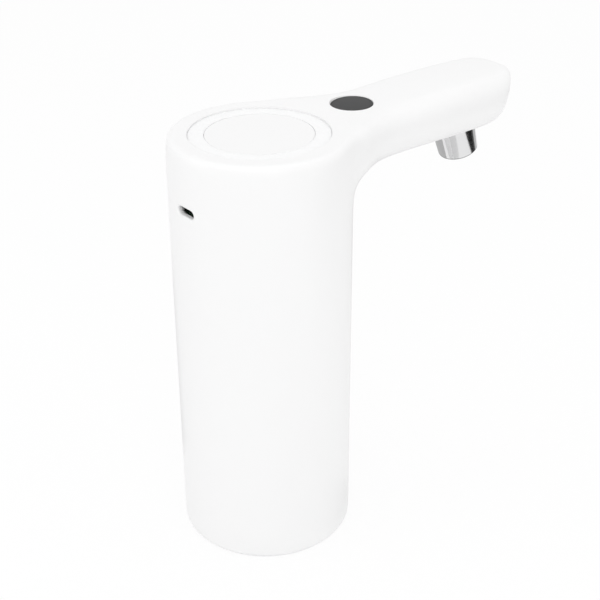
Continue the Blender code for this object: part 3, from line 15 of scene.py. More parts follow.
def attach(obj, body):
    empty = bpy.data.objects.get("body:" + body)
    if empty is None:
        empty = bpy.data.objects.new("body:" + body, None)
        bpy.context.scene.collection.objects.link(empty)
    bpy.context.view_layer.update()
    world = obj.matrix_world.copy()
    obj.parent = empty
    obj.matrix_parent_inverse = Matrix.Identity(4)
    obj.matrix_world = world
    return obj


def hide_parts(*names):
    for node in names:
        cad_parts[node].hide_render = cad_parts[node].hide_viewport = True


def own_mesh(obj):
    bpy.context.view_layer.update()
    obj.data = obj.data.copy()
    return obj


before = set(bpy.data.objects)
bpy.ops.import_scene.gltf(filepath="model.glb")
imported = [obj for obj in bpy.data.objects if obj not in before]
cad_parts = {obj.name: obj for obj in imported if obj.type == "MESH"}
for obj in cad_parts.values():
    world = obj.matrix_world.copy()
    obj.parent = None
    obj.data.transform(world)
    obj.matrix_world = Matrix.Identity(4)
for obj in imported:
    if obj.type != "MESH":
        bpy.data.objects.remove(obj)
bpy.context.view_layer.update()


# Camera. It stands 430 mm from the pump, off the corner between the port and the near side, and
# looks down on the deck at 29 degrees through a short telephoto lens.
CAMERA_AIM = (0.009668, -0.007970, 0.086926)
CAMERA_DISTANCE = 0.429307
CAMERA_AZIMUTH = -39.5
CAMERA_ELEVATION = 28.765
CAMERA_ROLL = -0.304
camera_lens = bpy.data.cameras.new("camera")
camera_lens.sensor_width = 36.0
camera_lens.lens = 75.9455
camera_lens.clip_start = 0.01
camera = bpy.data.objects.new("camera", camera_lens)
bpy.context.collection.objects.link(camera)
camera_turn = Matrix.Rotation(math.radians(CAMERA_AZIMUTH), 4, "Z")
camera.matrix_world = (
    Matrix.Translation(CAMERA_AIM)
    @ camera_turn
    @ Matrix.Rotation(math.radians(90 - CAMERA_ELEVATION), 4, "X")
    @ Matrix.Rotation(math.radians(CAMERA_ROLL), 4, "Z")
    @ Matrix.Translation((0, 0, CAMERA_DISTANCE))
)
bpy.context.scene.camera = camera


# Housing. Body and arm are one moulding in white ABS, satin from a polished mould, 2 to 2.8 mm
# thick. It is open at the neck and at the deck, and along the arm for the water tube.
BODY_RADIUS = 0.0300
BODY_HEIGHT = 0.1473
DECK_UNDERSIDE = 0.1449
SKIN_LEVELS = 4
CAGE_COLUMNS = 16
DECK_LOOP_RADIUS = 0.0238
RIM_INSET = 0.0014
RIM_RISE = 0.0008
BASE_EDGE = 0.0010
ARM_LENGTH = 0.0774
ARM_UNDERSIDE = 0.1265
ARM_HALF_WIDTH = 0.0143
ARM_CROWN = 0.0017
ARM_BELLY = 0.0011
TOP_EDGE_INSET = 0.0055
TOP_EDGE_DROP = 0.0015
LOWER_EDGE_INSET = 0.0064
LOWER_EDGE_RISE = 0.0069
TIP_RAKE = 0.16
ROOT_SIDE_RISE = 0.0056
ROOT_FILLET = 0.0076
# How far each row of the cage spreads beside the arm, and how far the rim rises towards it.
ROOT_FLARE = (0.0089, 0.0089, 0.010235, 0.000267)
ROOT_LIFT = (0.0, 0.0004, 0.00024)
# Share of the arm's length, then of its crown, width, belly and rake there.
ARM_STATION_SHARES = (
    (0.16, 0.40, 1.00, 0.95, 0.0),
    (0.38, 0.80, 1.01, 1.00, 0.1),
    (0.60, 1.00, 1.00, 0.50, 0.4),
    (0.82, 0.88, 0.96, 0.00, 0.8),
    (1.00, 0.55, 0.91, 0.00, 1.0),
)
# Bay of the works, with the neck socket below it and the channel along the arm.
BAY_RADIUS = 0.0272
BAY_FLOOR = 0.0295
SOCKET_RADIUS = 0.0280
SOCKET_MOUTH_ROUND = 0.0004
BAY_SIDES = 160
CHANNEL_FLOOR = 0.1316
CHANNEL_END = 0.1030
CHANNEL_HALF_WIDTH = 0.0109
CHANNEL_CORNER = 0.0060
# Well of the ring and button, and the seats of the display, socket, nozzle and arm cover.
WELL_RADIUS = 0.02295
MOUTH_ROUND = 0.00012
MOUTH_TURNS = [math.radians(degrees) for degrees in (0, 20, 40, 60, 78)]
DISPLAY_PLACE = Vector((0.0390, 0, 0.1478))
DISPLAY_TILT = math.radians(2.5)
DISPLAY_SEAT_RADIUS = 0.00726
DISPLAY_SEAT_DEPTH = 0.0050
SEAT_SIDES = 96
PORT_PLACE = Vector((-BODY_RADIUS, 0, 0.1284))
PORT_WIDTH = 0.0080
PORT_HEIGHT = 0.0028
PORT_ROUND = 0.00075
PORT_END_FLAT = 0.00002
PORT_DEPTH = 0.0048
RECESS_HALF_WIDTH = 0.0048
RECESS_HALF_HEIGHT = 0.00235
RECESS_WALL = 0.0019
NOZZLE_PLACE = Vector((0.0919, 0, 0.11820))
NOZZLE_TILT = math.radians(18.8)
NOZZLE_HOLE_RADIUS = 0.0083
NOZZLE_HOLE_DEPTH = 0.0188
COVER_START = 0.0430
COVER_END = 0.0750
COVER_HALF_WIDTH = 0.0087
COVER_CORNER = 0.0020
FIT_GAP = 0.0003
OVERRUN = 0.0020
TOUCHING = 1e-7
WHITE = (0.8765, 0.876, 0.877)


def object_of(name, shape, finish=None, sharp=35):
    """Object at the origin from a bmesh, smooth but for edges sharper than the given angle."""
    bmesh.ops.remove_doubles(shape, verts=shape.verts, dist=TOUCHING)
    bmesh.ops.recalc_face_normals(shape, faces=shape.faces)
    mesh = bpy.data.meshes.new(name)
    shape.to_mesh(mesh)
    shape.free()
    mesh.shade_smooth()
    mesh.set_sharp_from_angle(angle=math.radians(sharp))
    if finish:
        mesh.materials.append(finish)
    made = bpy.data.objects.new(name, mesh)
    bpy.context.collection.objects.link(made)
    return made


def shaped(piece, kind, **settings):
    """Apply a modifier to a piece, with the settings given."""
    step = piece.modifiers.new(kind, kind)
    for name, value in settings.items():
        setattr(step, name, value)
    graph = bpy.context.evaluated_depsgraph_get()
    mesh = bpy.data.meshes.new_from_object(piece.evaluated_get(graph), depsgraph=graph)
    piece.modifiers.clear()
    plain = piece.data
    piece.data = mesh
    mesh.name = plain.name
    bpy.data.meshes.remove(plain)


def even(piece):
    """Let large faces keep their own shading beside a rounded edge."""
    shaped(piece, "WEIGHTED_NORMAL", keep_sharp=True, weight=50)


def finished(piece, finish, sharp=None):
    """Give a cut piece its material, and its shading anew where an angle is given."""
    piece.data.materials.clear()
    piece.data.materials.append(finish)
    if sharp:
        piece.data.shade_smooth()
        piece.data.set_sharp_from_angle(angle=math.radians(sharp))
        even(piece)


def combined(target, operation, tools):
    """Cut a piece with tool objects, or join or intersect it, one after another."""
    for tool in tools:
        shaped(target, "BOOLEAN", operation=operation, object=tool, solver="EXACT")
        bpy.data.objects.remove(tool)


def turned(profile, sides, place=(0, 0, 0), tilt=0.0):
    """Revolve a closed outline of (radius, height) points about an upright or tilted axis."""
    shape = bmesh.new()
    points = [shape.verts.new((radius, 0, height)) for radius, height in profile]
    edges = [shape.edges.new(pair) for pair in zip(points, points[1:] + points[:1])
             if pair[0].co.x > 0 or pair[1].co.x > 0]
    bmesh.ops.spin(shape, geom=points + edges, cent=(0, 0, 0), axis=(0, 0, 1),
                   angle=math.tau, steps=sides, use_merge=True)
    bmesh.ops.remove_doubles(shape, verts=shape.verts, dist=TOUCHING)
    bmesh.ops.recalc_face_normals(shape, faces=shape.faces)
    bmesh.ops.transform(shape, verts=shape.verts,
                        matrix=Matrix.Translation(place) @ Matrix.Rotation(-tilt, 4, "Y"))
    return shape


def rounded_plate(low, high, corner, bottom, top, segments=8):
    """Plate between two (x, y) corners with rounded upright edges."""
    shape = bmesh.new()
    centre = ((low[0] + high[0]) / 2, (low[1] + high[1]) / 2, bottom)
    size = Matrix.Diagonal((high[0] - low[0], high[1] - low[1], 1, 1))
    bmesh.ops.create_grid(shape, x_segments=1, y_segments=1, size=0.5,
                          matrix=Matrix.Translation(centre) @ size)
    bmesh.ops.bevel(shape, geom=shape.verts, offset=corner, offset_type="OFFSET", affect="VERTICES",
                    segments=segments, profile=0.5, material=-1)
    raised = bmesh.ops.extrude_face_region(shape, geom=shape.faces)["geom"]
    bmesh.ops.translate(shape, vec=(0, 0, top - bottom),
                        verts=[item for item in raised if isinstance(item, bmesh.types.BMVert)])
    bmesh.ops.recalc_face_normals(shape, faces=shape.faces)
    return shape


def flared(radius, mouth, rounding, deep, out):
    """Profile of a round cutter whose mouth rounds the edge that it leaves."""
    outline = [(0, mouth + out), (0, mouth - deep), (radius, mouth - deep)]
    for turn in MOUTH_TURNS:
        outline.append((radius + rounding * (1 - math.cos(turn)),
                        mouth - rounding * (1 - math.sin(turn))))
    return outline + [(radius + 3 * rounding, mouth + out)]


def skin_shape():
    """Cage of the round body, its upper +X side drawn out through the stations of the arm."""
    cage = bmesh.new()
    column = cage.verts.layers.int.new("column")
    row = cage.verts.layers.int.new("row")
    crease = cage.edges.layers.float.new("crease_edge")
    turn = math.tau / CAGE_COLUMNS
    cage_radius = BODY_RADIUS * 3 / (2 + math.cos(turn))
    rows = ((cage_radius - RIM_INSET, BODY_HEIGHT + RIM_RISE), (cage_radius, BODY_HEIGHT - RIM_INSET),
            (cage_radius, ARM_UNDERSIDE + ROOT_SIDE_RISE), (cage_radius, ARM_UNDERSIDE),
            (cage_radius, ARM_UNDERSIDE - ROOT_FILLET), (cage_radius, 3 * BASE_EDGE),
            (cage_radius, BASE_EDGE), (cage_radius - BASE_EDGE, 0))
    deck = bmesh.ops.create_circle(cage, cap_ends=True, segments=CAGE_COLUMNS, radius=DECK_LOOP_RADIUS)
    for vert in deck["verts"]:
        vert[column] = round(math.atan2(vert.co.y, vert.co.x) / turn)
        vert[row] = -1
        vert.co.z = BODY_HEIGHT
    rim = [edge for edge in cage.edges if edge.is_boundary]
    for index, (radius, height) in enumerate(rows):
        added = bmesh.ops.extrude_edge_only(cage, edges=rim)["geom"]
        rim = [item for item in added if isinstance(item, bmesh.types.BMEdge) and item.is_boundary]
        for vert in {vert for edge in rim for vert in edge.verts}:
            vert[row] = index
            angle = vert[column] * turn
            vert.co = (radius * math.cos(angle), radius * math.sin(angle), height)
            beside = abs(vert[column])
            if beside == 1 and index < len(ROOT_FLARE):
                vert.co.y += math.copysign(ROOT_FLARE[index], vert.co.y)
            if index == 0 and beside < len(ROOT_LIFT):
                vert.co.z += ROOT_LIFT[beside]
    bmesh.ops.contextual_create(cage, geom=rim)
    for edge in rim:
        edge[crease] = 1.0

    arm = [face for face in cage.faces
           if all(abs(vert[column]) <= 1 and 0 <= vert[row] < len(ROOT_FLARE) for vert in face.verts)]
    for reach, crown, width, belly, rake in ARM_STATION_SHARES:
        added = bmesh.ops.extrude_face_region(cage, geom=arm)["geom"]
        bmesh.ops.delete(cage, geom=[face for face in arm if face.is_valid], context="FACES")
        arm = [item for item in added if isinstance(item, bmesh.types.BMFace)]
        top = BODY_HEIGHT + ARM_CROWN * crown
        bottom = ARM_UNDERSIDE + ARM_BELLY * belly
        half = ARM_HALF_WIDTH * width
        corners = ((half - TOP_EDGE_INSET, top), (half, top - TOP_EDGE_DROP),
                   (half, bottom + LOWER_EDGE_RISE), (half - LOWER_EDGE_INSET, bottom))
        for vert in {vert for face in arm for vert in face.verts}:
            across, height = corners[vert[row]]
            lean = TIP_RAKE * rake * (height - (top + bottom) / 2)
            vert.co = (BODY_RADIUS + reach * ARM_LENGTH + lean, vert[column] * across, height)
    return cage


# Stands a plate on its edge: what was up points along X, and its width along Y.
ON_EDGE = Matrix(((0, 0, 1, 0), (1, 0, 0, 0), (0, 1, 0, 0), (0, 0, 0, 1)))


def port_recess():
    """Pocket behind the slot, where the wall is thinned for the socket's mouth."""
    shape = rounded_plate((-RECESS_HALF_WIDTH, -RECESS_HALF_HEIGHT),
                          (RECESS_HALF_WIDTH, RECESS_HALF_HEIGHT), RECESS_HALF_HEIGHT / 3,
                          RECESS_WALL, RECESS_WALL + OVERRUN)
    bmesh.ops.transform(shape, verts=shape.verts, matrix=Matrix.Translation(PORT_PLACE) @ ON_EDGE)
    return shape


def port_cutter():
    """Slot with round ends through the round wall, its mouth flared to follow the wall."""
    shape = bmesh.new()
    outline = shape.verts.layers.float_vector.new("outline")
    bmesh.ops.create_grid(shape, x_segments=1, y_segments=1, size=0.5,
                          matrix=Matrix.Diagonal((PORT_WIDTH, PORT_HEIGHT, 1, 1)))
    bmesh.ops.bevel(shape, geom=shape.verts, offset=(PORT_HEIGHT - PORT_END_FLAT) / 2,
                    offset_type="OFFSET", affect="VERTICES", segments=12, profile=0.5, material=-1)
    bmesh.ops.transform(shape, verts=shape.verts, matrix=ON_EDGE)
    for vert in shape.verts:
        vert[outline] = vert.co
    straight = (PORT_WIDTH - PORT_HEIGHT) / 2
    rings = [(0.0, PORT_DEPTH)]
    rings += [(PORT_ROUND * (1 - math.cos(turn)), PORT_ROUND * (1 - math.sin(turn)))
              for turn in MOUTH_TURNS]
    rings.append((3 * PORT_ROUND, -OVERRUN))
    rim = list(shape.edges)
    for index, (grown, depth) in enumerate(rings):
        if index:
            added = bmesh.ops.extrude_edge_only(shape, edges=rim)["geom"]
            rim = [item for item in added if isinstance(item, bmesh.types.BMEdge) and item.is_boundary]
        for vert in {vert for edge in rim for vert in edge.verts}:
            start = vert[outline]
            spine = Vector((0, max(-straight, min(straight, start.y)), 0))
            across = start + (start - spine).normalized() * grown
            on_wall = BODY_RADIUS - math.sqrt(BODY_RADIUS ** 2 - across.y ** 2)
            vert.co = across + Vector((on_wall + depth, 0, 0))
    bmesh.ops.contextual_create(shape, geom=rim)
    bmesh.ops.translate(shape, verts=shape.verts, vec=PORT_PLACE)
    shape.verts.layers.float_vector.remove(outline)
    return shape


class Shade:
    """Output of a shader node. Arithmetic on it adds Math nodes to its material."""

    def __init__(self, tree, socket=None):
        self.tree = tree
        self.socket = socket

    def node(self, kind, settings, inputs, output=0):
        """Add a node: its settings first, then the values or links of its sockets."""
        made = self.tree.nodes.new(kind)
        for name, value in settings.items():
            setattr(made, name, value)
        for name, value in inputs.items():
            if isinstance(value, Shade):
                self.tree.links.new(value.socket, made.inputs[name])
            else:
                made.inputs[name].default_value = value
        return Shade(self.tree, made.outputs[output])

    def math(self, operation, first, second=0.0):
        return self.node("ShaderNodeMath", {"operation": operation}, {0: first, 1: second})

    def __add__(self, other):
        return self.math("ADD", self, other)

    def __sub__(self, other):
        return self.math("SUBTRACT", self, other)

    def __rsub__(self, other):
        return self.math("SUBTRACT", other, self)

    def __mul__(self, other):
        return self.math("MULTIPLY", self, other)

    __radd__ = __add__
    __rmul__ = __mul__

    def above(self, edge, soft):
        """Mask that rises from 0 to 1 over a soft step centred on an edge."""
        settings = {"interpolation_type": "SMOOTHSTEP"}
        inputs = {0: self, 1: edge - soft / 2, 2: edge + soft / 2}
        return self.node("ShaderNodeMapRange", settings, inputs)

    def noise(self, size, detail=2.0, roughness=0.5, stretch=None):
        """Noise with features of a size, stretched along the axes where told."""
        place = self
        if stretch:
            place = self.node("ShaderNodeMapping", {}, {"Vector": self, "Scale": stretch})
        inputs = {"Vector": place, "Scale": 1 / size, "Detail": detail, "Roughness": roughness}
        return self.node("ShaderNodeTexNoise", {}, inputs, "Fac")

    def mix(self, first, second):
        """Colour between two others, by this mask."""
        first, second = [colour if isinstance(colour, Shade) else (*colour, 1.0)
                         for colour in (first, second)]
        return self.node("ShaderNodeMix", {"data_type": "RGBA"}, {0: self, 6: first, 7: second}, 2)

    def relief(self, height):
        """Bump of a height in metres."""
        return self.node("ShaderNodeBump", {}, {"Height": self, "Distance": height, "Strength": 1.0})


def new_finish(name):
    """New material, and a shade that reads where each point is on the pump."""
    finish = bpy.data.materials.new(name)
    finish.use_nodes = True
    return finish, Shade(finish.node_tree).node("ShaderNodeTexCoord", {}, {}, "Object")


def set_surface(finish, inputs):
    """Values and shades of the Principled shader's sockets."""
    surface = finish.node_tree.nodes["Principled BSDF"]
    for name, value in inputs.items():
        if isinstance(value, Shade):
            finish.node_tree.links.new(value.socket, surface.inputs[name])
        else:
            surface.inputs[name].default_value = value
    return finish


def darker(colour, share):
    """Colour with a share of its light taken away."""
    return tuple(channel * (1 - share) for channel in colour)


def moulded(name, colour, roughness, grain=0.00022, relief=0.0000025, drift=0.015, inputs=None):
    """Moulded plastic: the fine grain of the mould, with a slow drift of tone and gloss."""
    finish, place = new_finish(name)
    slow = place.noise(0.018, 2.0)
    fine = place.noise(grain, 3.0, 0.6)
    tone = slow * 0.7 + fine * 0.3
    surface = {
        "Base Color": tone.mix(darker(colour, drift), colour),
        "Roughness": (slow - 0.5) * 0.10 + (fine - 0.5) * 0.06 + roughness,
        "Normal": fine.relief(relief),
        "Specular IOR Level": 0.35,
    }
    surface.update(inputs or {})
    return set_surface(finish, surface)


white_shell = moulded("white_shell", WHITE, 0.34)
skin = object_of("skin", skin_shape())
shaped(skin, "SUBSURF", levels=SKIN_LEVELS, render_levels=SKIN_LEVELS)
housing = bpy.data.objects.new("housing_shell", skin.data.copy())
bpy.context.collection.objects.link(housing)
bay = [(0, DECK_UNDERSIDE), (BAY_RADIUS, DECK_UNDERSIDE), (BAY_RADIUS, BAY_FLOOR),
       (SOCKET_RADIUS, BAY_FLOOR), (SOCKET_RADIUS, SOCKET_MOUTH_ROUND),
       (SOCKET_RADIUS + SOCKET_MOUTH_ROUND * 0.3, SOCKET_MOUTH_ROUND * 0.3),
       (SOCKET_RADIUS + SOCKET_MOUTH_ROUND * 1.2, -SOCKET_MOUTH_ROUND * 0.2),
       (SOCKET_RADIUS + SOCKET_MOUTH_ROUND * 1.2, -OVERRUN), (0, -OVERRUN)]
cutter = object_of("cutter", turned(bay, BAY_SIDES))
opening = rounded_plate((COVER_START - FIT_GAP, -COVER_HALF_WIDTH - FIT_GAP),
                        (COVER_END + FIT_GAP, COVER_HALF_WIDTH + FIT_GAP), COVER_CORNER + FIT_GAP,
                        ARM_UNDERSIDE - OVERRUN, CHANNEL_FLOOR + OVERRUN)
channel = rounded_plate((-CHANNEL_CORNER, -CHANNEL_HALF_WIDTH), (CHANNEL_END, CHANNEL_HALF_WIDTH),
                        CHANNEL_CORNER, CHANNEL_FLOOR, DECK_UNDERSIDE)
well = turned(flared(WELL_RADIUS, BODY_HEIGHT, MOUTH_ROUND, 2 * OVERRUN, OVERRUN), BAY_SIDES)
display_seat = turned(flared(DISPLAY_SEAT_RADIUS, 0, MOUTH_ROUND, DISPLAY_SEAT_DEPTH, OVERRUN),
                      SEAT_SIDES, DISPLAY_PLACE, DISPLAY_TILT)
nozzle_hole = turned([(0, 0), (NOZZLE_HOLE_RADIUS, 0), (NOZZLE_HOLE_RADIUS, NOZZLE_HOLE_DEPTH),
                      (0, NOZZLE_HOLE_DEPTH)], SEAT_SIDES, NOZZLE_PLACE, NOZZLE_TILT)
combined(cutter, "UNION", [
    object_of("channel", channel), object_of("opening", opening), object_of("well", well),
    object_of("display_seat", display_seat), object_of("nozzle_hole", nozzle_hole),
    object_of("port", port_cutter()), object_of("recess", port_recess()),
])
combined(housing, "DIFFERENCE", [cutter])
finished(housing, white_shell, 24)
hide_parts("housing")
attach(housing, "pump")


# Arm cover. A white tray pressed up into the arm's underside between its root and the nozzle, where
# two hooks at its inner end and the spout's flange hold it.
COVER_RIM = 0.0018
TRAY_FLOOR = 0.1298
HOOK_LENGTH = 0.0030
HOOK_WIDTH = 0.0024
HOOK_HEIGHT = 0.0016
HOOK_OFFSET = 0.0054
HOOK_CORNER = 0.0002
cover_plastic = moulded("cover_plastic", darker(WHITE, 0.02), 0.38)
arm_cover = skin
arm_cover.name = "arm_cover_tray"
cover_plan = rounded_plate((COVER_START, -COVER_HALF_WIDTH), (COVER_END, COVER_HALF_WIDTH), COVER_CORNER,
                           ARM_UNDERSIDE - OVERRUN, CHANNEL_FLOOR - FIT_GAP)
combined(arm_cover, "INTERSECT", [object_of("cover_plan", cover_plan)])
tray = rounded_plate((COVER_START + COVER_RIM, COVER_RIM - COVER_HALF_WIDTH),
                     (COVER_END - COVER_RIM, COVER_HALF_WIDTH - COVER_RIM), COVER_CORNER / 2,
                     TRAY_FLOOR, CHANNEL_FLOOR + OVERRUN)
combined(arm_cover, "DIFFERENCE", [object_of("tray", tray)])
hooks = []
hook_bottom = CHANNEL_FLOOR + FIT_GAP
for side in (-1, 1):
    low = side * HOOK_OFFSET - HOOK_WIDTH / 2
    high = side * HOOK_OFFSET + HOOK_WIDTH / 2
    post = rounded_plate((COVER_START, low), (COVER_START + COVER_RIM, high), HOOK_CORNER,
                         TRAY_FLOOR - FIT_GAP, hook_bottom + HOOK_HEIGHT)
    finger = rounded_plate((COVER_START - HOOK_LENGTH, low), (COVER_START + COVER_RIM, high),
                           HOOK_CORNER, hook_bottom, hook_bottom + HOOK_HEIGHT)
    hooks += [object_of("hook_post", post), object_of("hook_finger", finger)]
combined(arm_cover, "UNION", hooks)
finished(arm_cover, cover_plastic, 24)
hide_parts("arm_cover")
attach(arm_cover, "pump")


# Light ring. A milky acrylic ring that drops into the deck around the button and spreads the light
# of three lamps on the board below it. Its top is gently crowned and its edges are rounded.
RING_OUTER = 0.02288
RING_INNER = 0.01769
RING_TOP = 0.14716
RING_CROWN = 0.00017
RING_BOTTOM = 0.1449
RING_EDGE = 0.0001
RING_STEPS = 12


def softened(shape, offset, segments=4, angle=30):
    """Round every edge of a shape that is sharper than an angle."""
    edges = [edge for edge in shape.edges
             if edge.is_manifold and edge.calc_face_angle(0) > math.radians(angle)]
    bmesh.ops.bevel(shape, geom=edges, offset=offset, offset_type="OFFSET", affect="EDGES",
                    segments=segments, profile=0.5, material=-1, clamp_overlap=True)
    return shape


ring_plastic = moulded("ring_plastic", (0.895, 0.897, 0.90), 0.28, grain=0.0003, relief=0.0000015,
                       drift=0.01, inputs={"Subsurface Weight": 0.15, "Subsurface Scale": 1.0,
                                           "Subsurface Radius": (0.002, 0.002, 0.002)})
ring_section = [(RING_INNER, RING_BOTTOM)]
for step in range(RING_STEPS + 1):
    share = step / RING_STEPS
    ring_section.append((RING_INNER + share * (RING_OUTER - RING_INNER),
                         RING_TOP + RING_CROWN * 4 * share * (1 - share)))
ring_section.append((RING_OUTER, RING_BOTTOM))
ring = softened(turned(ring_section, BAY_SIDES), RING_EDGE)
light_ring = object_of("light_ring_diffuser", ring, ring_plastic, 50)
even(light_ring)
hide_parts("light_ring")
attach(light_ring, "pump")


# Power button. A white cap as wide as a thumb on a stem that slides in the deck frame, moulded with
# a rounded rim. It sinks 0.8 mm on its spring.
BUTTON_RADIUS = 0.01762
BUTTON_TOP = 0.1471
BUTTON_UNDERSIDE = 0.1457
BUTTON_EDGE = 0.00013
BUTTON_SIDES = 144
STEM_RADIUS = 0.0050
STEM_END = 0.1404
button_plastic = moulded("button_plastic", darker(WHITE, 0.005), 0.32)
button_section = [(0, BUTTON_TOP), (BUTTON_RADIUS, BUTTON_TOP), (BUTTON_RADIUS, BUTTON_UNDERSIDE),
                  (STEM_RADIUS, BUTTON_UNDERSIDE), (STEM_RADIUS, STEM_END), (0, STEM_END)]
button = softened(turned(button_section, BUTTON_SIDES), BUTTON_EDGE)
power_button = object_of("power_button_cap", button, button_plastic, 50)
even(power_button)
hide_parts("power_button")
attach(power_button, "button")


# Display. A smoked lens, printed black round its rim from behind, over the sealed module that shows
# the charge. It sits level with the deck at the arm's root.
LENS_RADIUS = 0.0072
LENS_THICKNESS = 0.0016
LENS_EDGE = 0.00025
LENS_PRINT_RADIUS = 0.0061
LENS_SMOKE = (0.012, 0.0125, 0.0135)
LENS_PRINT = (0.004, 0.004, 0.0045)
display_lens, lens_place = new_finish("display_lens")
from_axis = lens_place.node("ShaderNodeMapping", {"vector_type": "POINT"}, {
    "Vector": lens_place, "Location": tuple(-DISPLAY_PLACE)})
from_axis = from_axis.node("ShaderNodeVectorMath", {"operation": "MULTIPLY"}, {
    0: from_axis, 1: (1, 1, 0)})
lens_radius = from_axis.node("ShaderNodeVectorMath", {"operation": "LENGTH"}, {0: from_axis}, "Value")
printed = lens_radius.above(LENS_PRINT_RADIUS, 0.00015)
scuffs = lens_place.noise(0.0009, 4.0, 0.7, (1.0, 0.25, 1.0))
set_surface(display_lens, {
    "Base Color": printed.mix(LENS_SMOKE, LENS_PRINT),
    "Roughness": scuffs * 0.05 + 0.06,
    "Normal": scuffs.relief(0.0000006),
    "Specular IOR Level": 0.14,
})
lens_section = [(0, 0), (LENS_RADIUS, 0), (LENS_RADIUS, -LENS_THICKNESS), (0, -LENS_THICKNESS)]
lens = softened(turned(lens_section, SEAT_SIDES, DISPLAY_PLACE, DISPLAY_TILT), LENS_EDGE, 3)
display_window = object_of("display_lens_disc", lens, display_lens, 50)
even(display_window)
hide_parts("display_window")
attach(display_window, "pump")


# Charging port. A socket drawn from thin steel, its corners rounded, stands on the board behind the
# slot in the back; its colour is near black, painted shade for the dark inside of the slot. Its black
# tongue carries five gilt contacts.
SOCKET_MOUTH = -0.0269
SOCKET_LENGTH = 0.0056
SOCKET_HALF_WIDTH = 0.0038
SOCKET_HALF_HEIGHT = 0.00145
SOCKET_WALL = 0.0003
SOCKET_CORNER = 0.0007
SOCKET_EDGE = 0.00006
TONGUE_HALF_WIDTH = 0.0024
TONGUE_HALF_THICKNESS = 0.0003
TONGUE_LENGTH = 0.0036
TONGUE_INSET = 0.0007
TONGUE_CORNER = 0.0001
TONGUE_EDGE = 0.00008
CONTACT_PITCH = 0.00065
CONTACT_SIZE = (0.8 * TONGUE_LENGTH, 0.00026, 0.00008)
CONTACT_FORWARD = 0.0002
CONTACT_DROP = 0.00002
CONTACT_EDGE = 0.00002


def metal(name, colour, roughness, grain, stretch=None, relief=0.0000012, dull=0.06):
    """Bare metal with the fine lines or mottle of how it was made."""
    finish, place = new_finish(name)
    lines = place.noise(grain, 3.0, 0.65, stretch)
    haze = place.noise(0.004, 3.0)
    return set_surface(finish, {
        "Base Color": (haze * 0.6 + lines * 0.4).mix(darker(colour, dull), colour),
        "Roughness": (lines - 0.5) * roughness * 0.7 + (haze - 0.5) * 0.06 + roughness,
        "Metallic": 1.0,
        "Normal": lines.relief(relief),
    })


def stood_in_port(shape):
    """Stand a plate on its edge, level with the slot."""
    place = Matrix.Translation((0, 0, PORT_PLACE.z))
    bmesh.ops.transform(shape, verts=shape.verts, matrix=place @ ON_EDGE)
    bmesh.ops.recalc_face_normals(shape, faces=shape.faces)


# Near-black steel: painted shade inside the slot, where the shell would otherwise show light.
socket_steel = metal("socket_steel", (0.05, 0.05, 0.052), 0.30, grain=0.0002, stretch=(0.2, 1.0, 1.0))
shell = rounded_plate((-SOCKET_HALF_WIDTH, -SOCKET_HALF_HEIGHT), (SOCKET_HALF_WIDTH, SOCKET_HALF_HEIGHT),
                      SOCKET_CORNER, SOCKET_MOUTH, SOCKET_MOUTH + SOCKET_LENGTH)
mouth_face = min(shell.faces, key=lambda face: face.calc_center_median().z)
bmesh.ops.inset_region(shell, faces=[mouth_face], thickness=SOCKET_WALL, use_even_offset=True)
pushed = bmesh.ops.extrude_face_region(shell, geom=[mouth_face])["geom"]
bmesh.ops.delete(shell, geom=[mouth_face], context="FACES")
bmesh.ops.translate(shell, vec=(0, 0, SOCKET_LENGTH - SOCKET_WALL),
                    verts=[item for item in pushed if isinstance(item, bmesh.types.BMVert)])
stood_in_port(shell)
charge_socket = object_of("charge_socket_shell", softened(shell, SOCKET_EDGE, 2), socket_steel, 40)
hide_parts("charge_socket")
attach(charge_socket, "pump")

black_plastic = moulded("black_plastic", (0.018, 0.018, 0.019), 0.42, grain=0.0002,
                        relief=0.000003, drift=0.2)
tongue_root = SOCKET_MOUTH + SOCKET_LENGTH - TONGUE_INSET
tongue = rounded_plate((-TONGUE_HALF_WIDTH, -TONGUE_HALF_THICKNESS),
                       (TONGUE_HALF_WIDTH, TONGUE_HALF_THICKNESS), TONGUE_CORNER,
                       tongue_root - TONGUE_LENGTH, tongue_root, 2)
stood_in_port(tongue)
socket_tongue = object_of("socket_tongue_block", softened(tongue, TONGUE_EDGE, 2), black_plastic, 40)
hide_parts("socket_tongue")
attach(socket_tongue, "pump")

gilt = metal("gilt", (0.83, 0.62, 0.28), 0.22, grain=0.0001)
contacts = bmesh.new()
for index in range(-2, 3):
    place = Matrix.Translation((tongue_root - TONGUE_LENGTH / 2 - CONTACT_FORWARD, index * CONTACT_PITCH,
                                PORT_PLACE.z - TONGUE_HALF_THICKNESS - CONTACT_DROP))
    bmesh.ops.create_cube(contacts, size=1.0, matrix=place @ Matrix.Diagonal((*CONTACT_SIZE, 1)))
socket_contacts = object_of("socket_contacts", softened(contacts, CONTACT_EDGE, 2), gilt, 40)
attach(socket_contacts, "pump")


# Nozzle. Turned from stainless steel rod and polished, screwed up against a gasket in the arm. Its
# mouth has a rounded lip, its colour darkened by half as painted shade, and faint tool lines run round
# its side.
NOZZLE_LENGTH = 0.0128
NOZZLE_TOP_RADIUS = 0.0080
NOZZLE_MOUTH_RADIUS = 0.0073
NOZZLE_WALL = 0.0007
NOZZLE_LIP = 0.0005
NOZZLE_DEPTH = 0.0072
NOZZLE_BORE = 0.0044
NOZZLE_EDGE = 0.00015
NOZZLE_SIDES = 128
STEEL = (0.80, 0.80, 0.805)
nozzle_steel, nozzle_point = new_finish("nozzle_steel")
along_axis = nozzle_point.node("ShaderNodeMapping", {"vector_type": "TEXTURE"}, {
    "Vector": nozzle_point, "Location": tuple(NOZZLE_PLACE), "Rotation": (0, -NOZZLE_TILT, 0)})
tool_lines = along_axis.noise(0.0002, 2.0, 0.5, (0.02, 0.02, 1.0))
polish = along_axis.noise(0.003, 3.0, 0.6, (1.0, 1.0, 0.5))
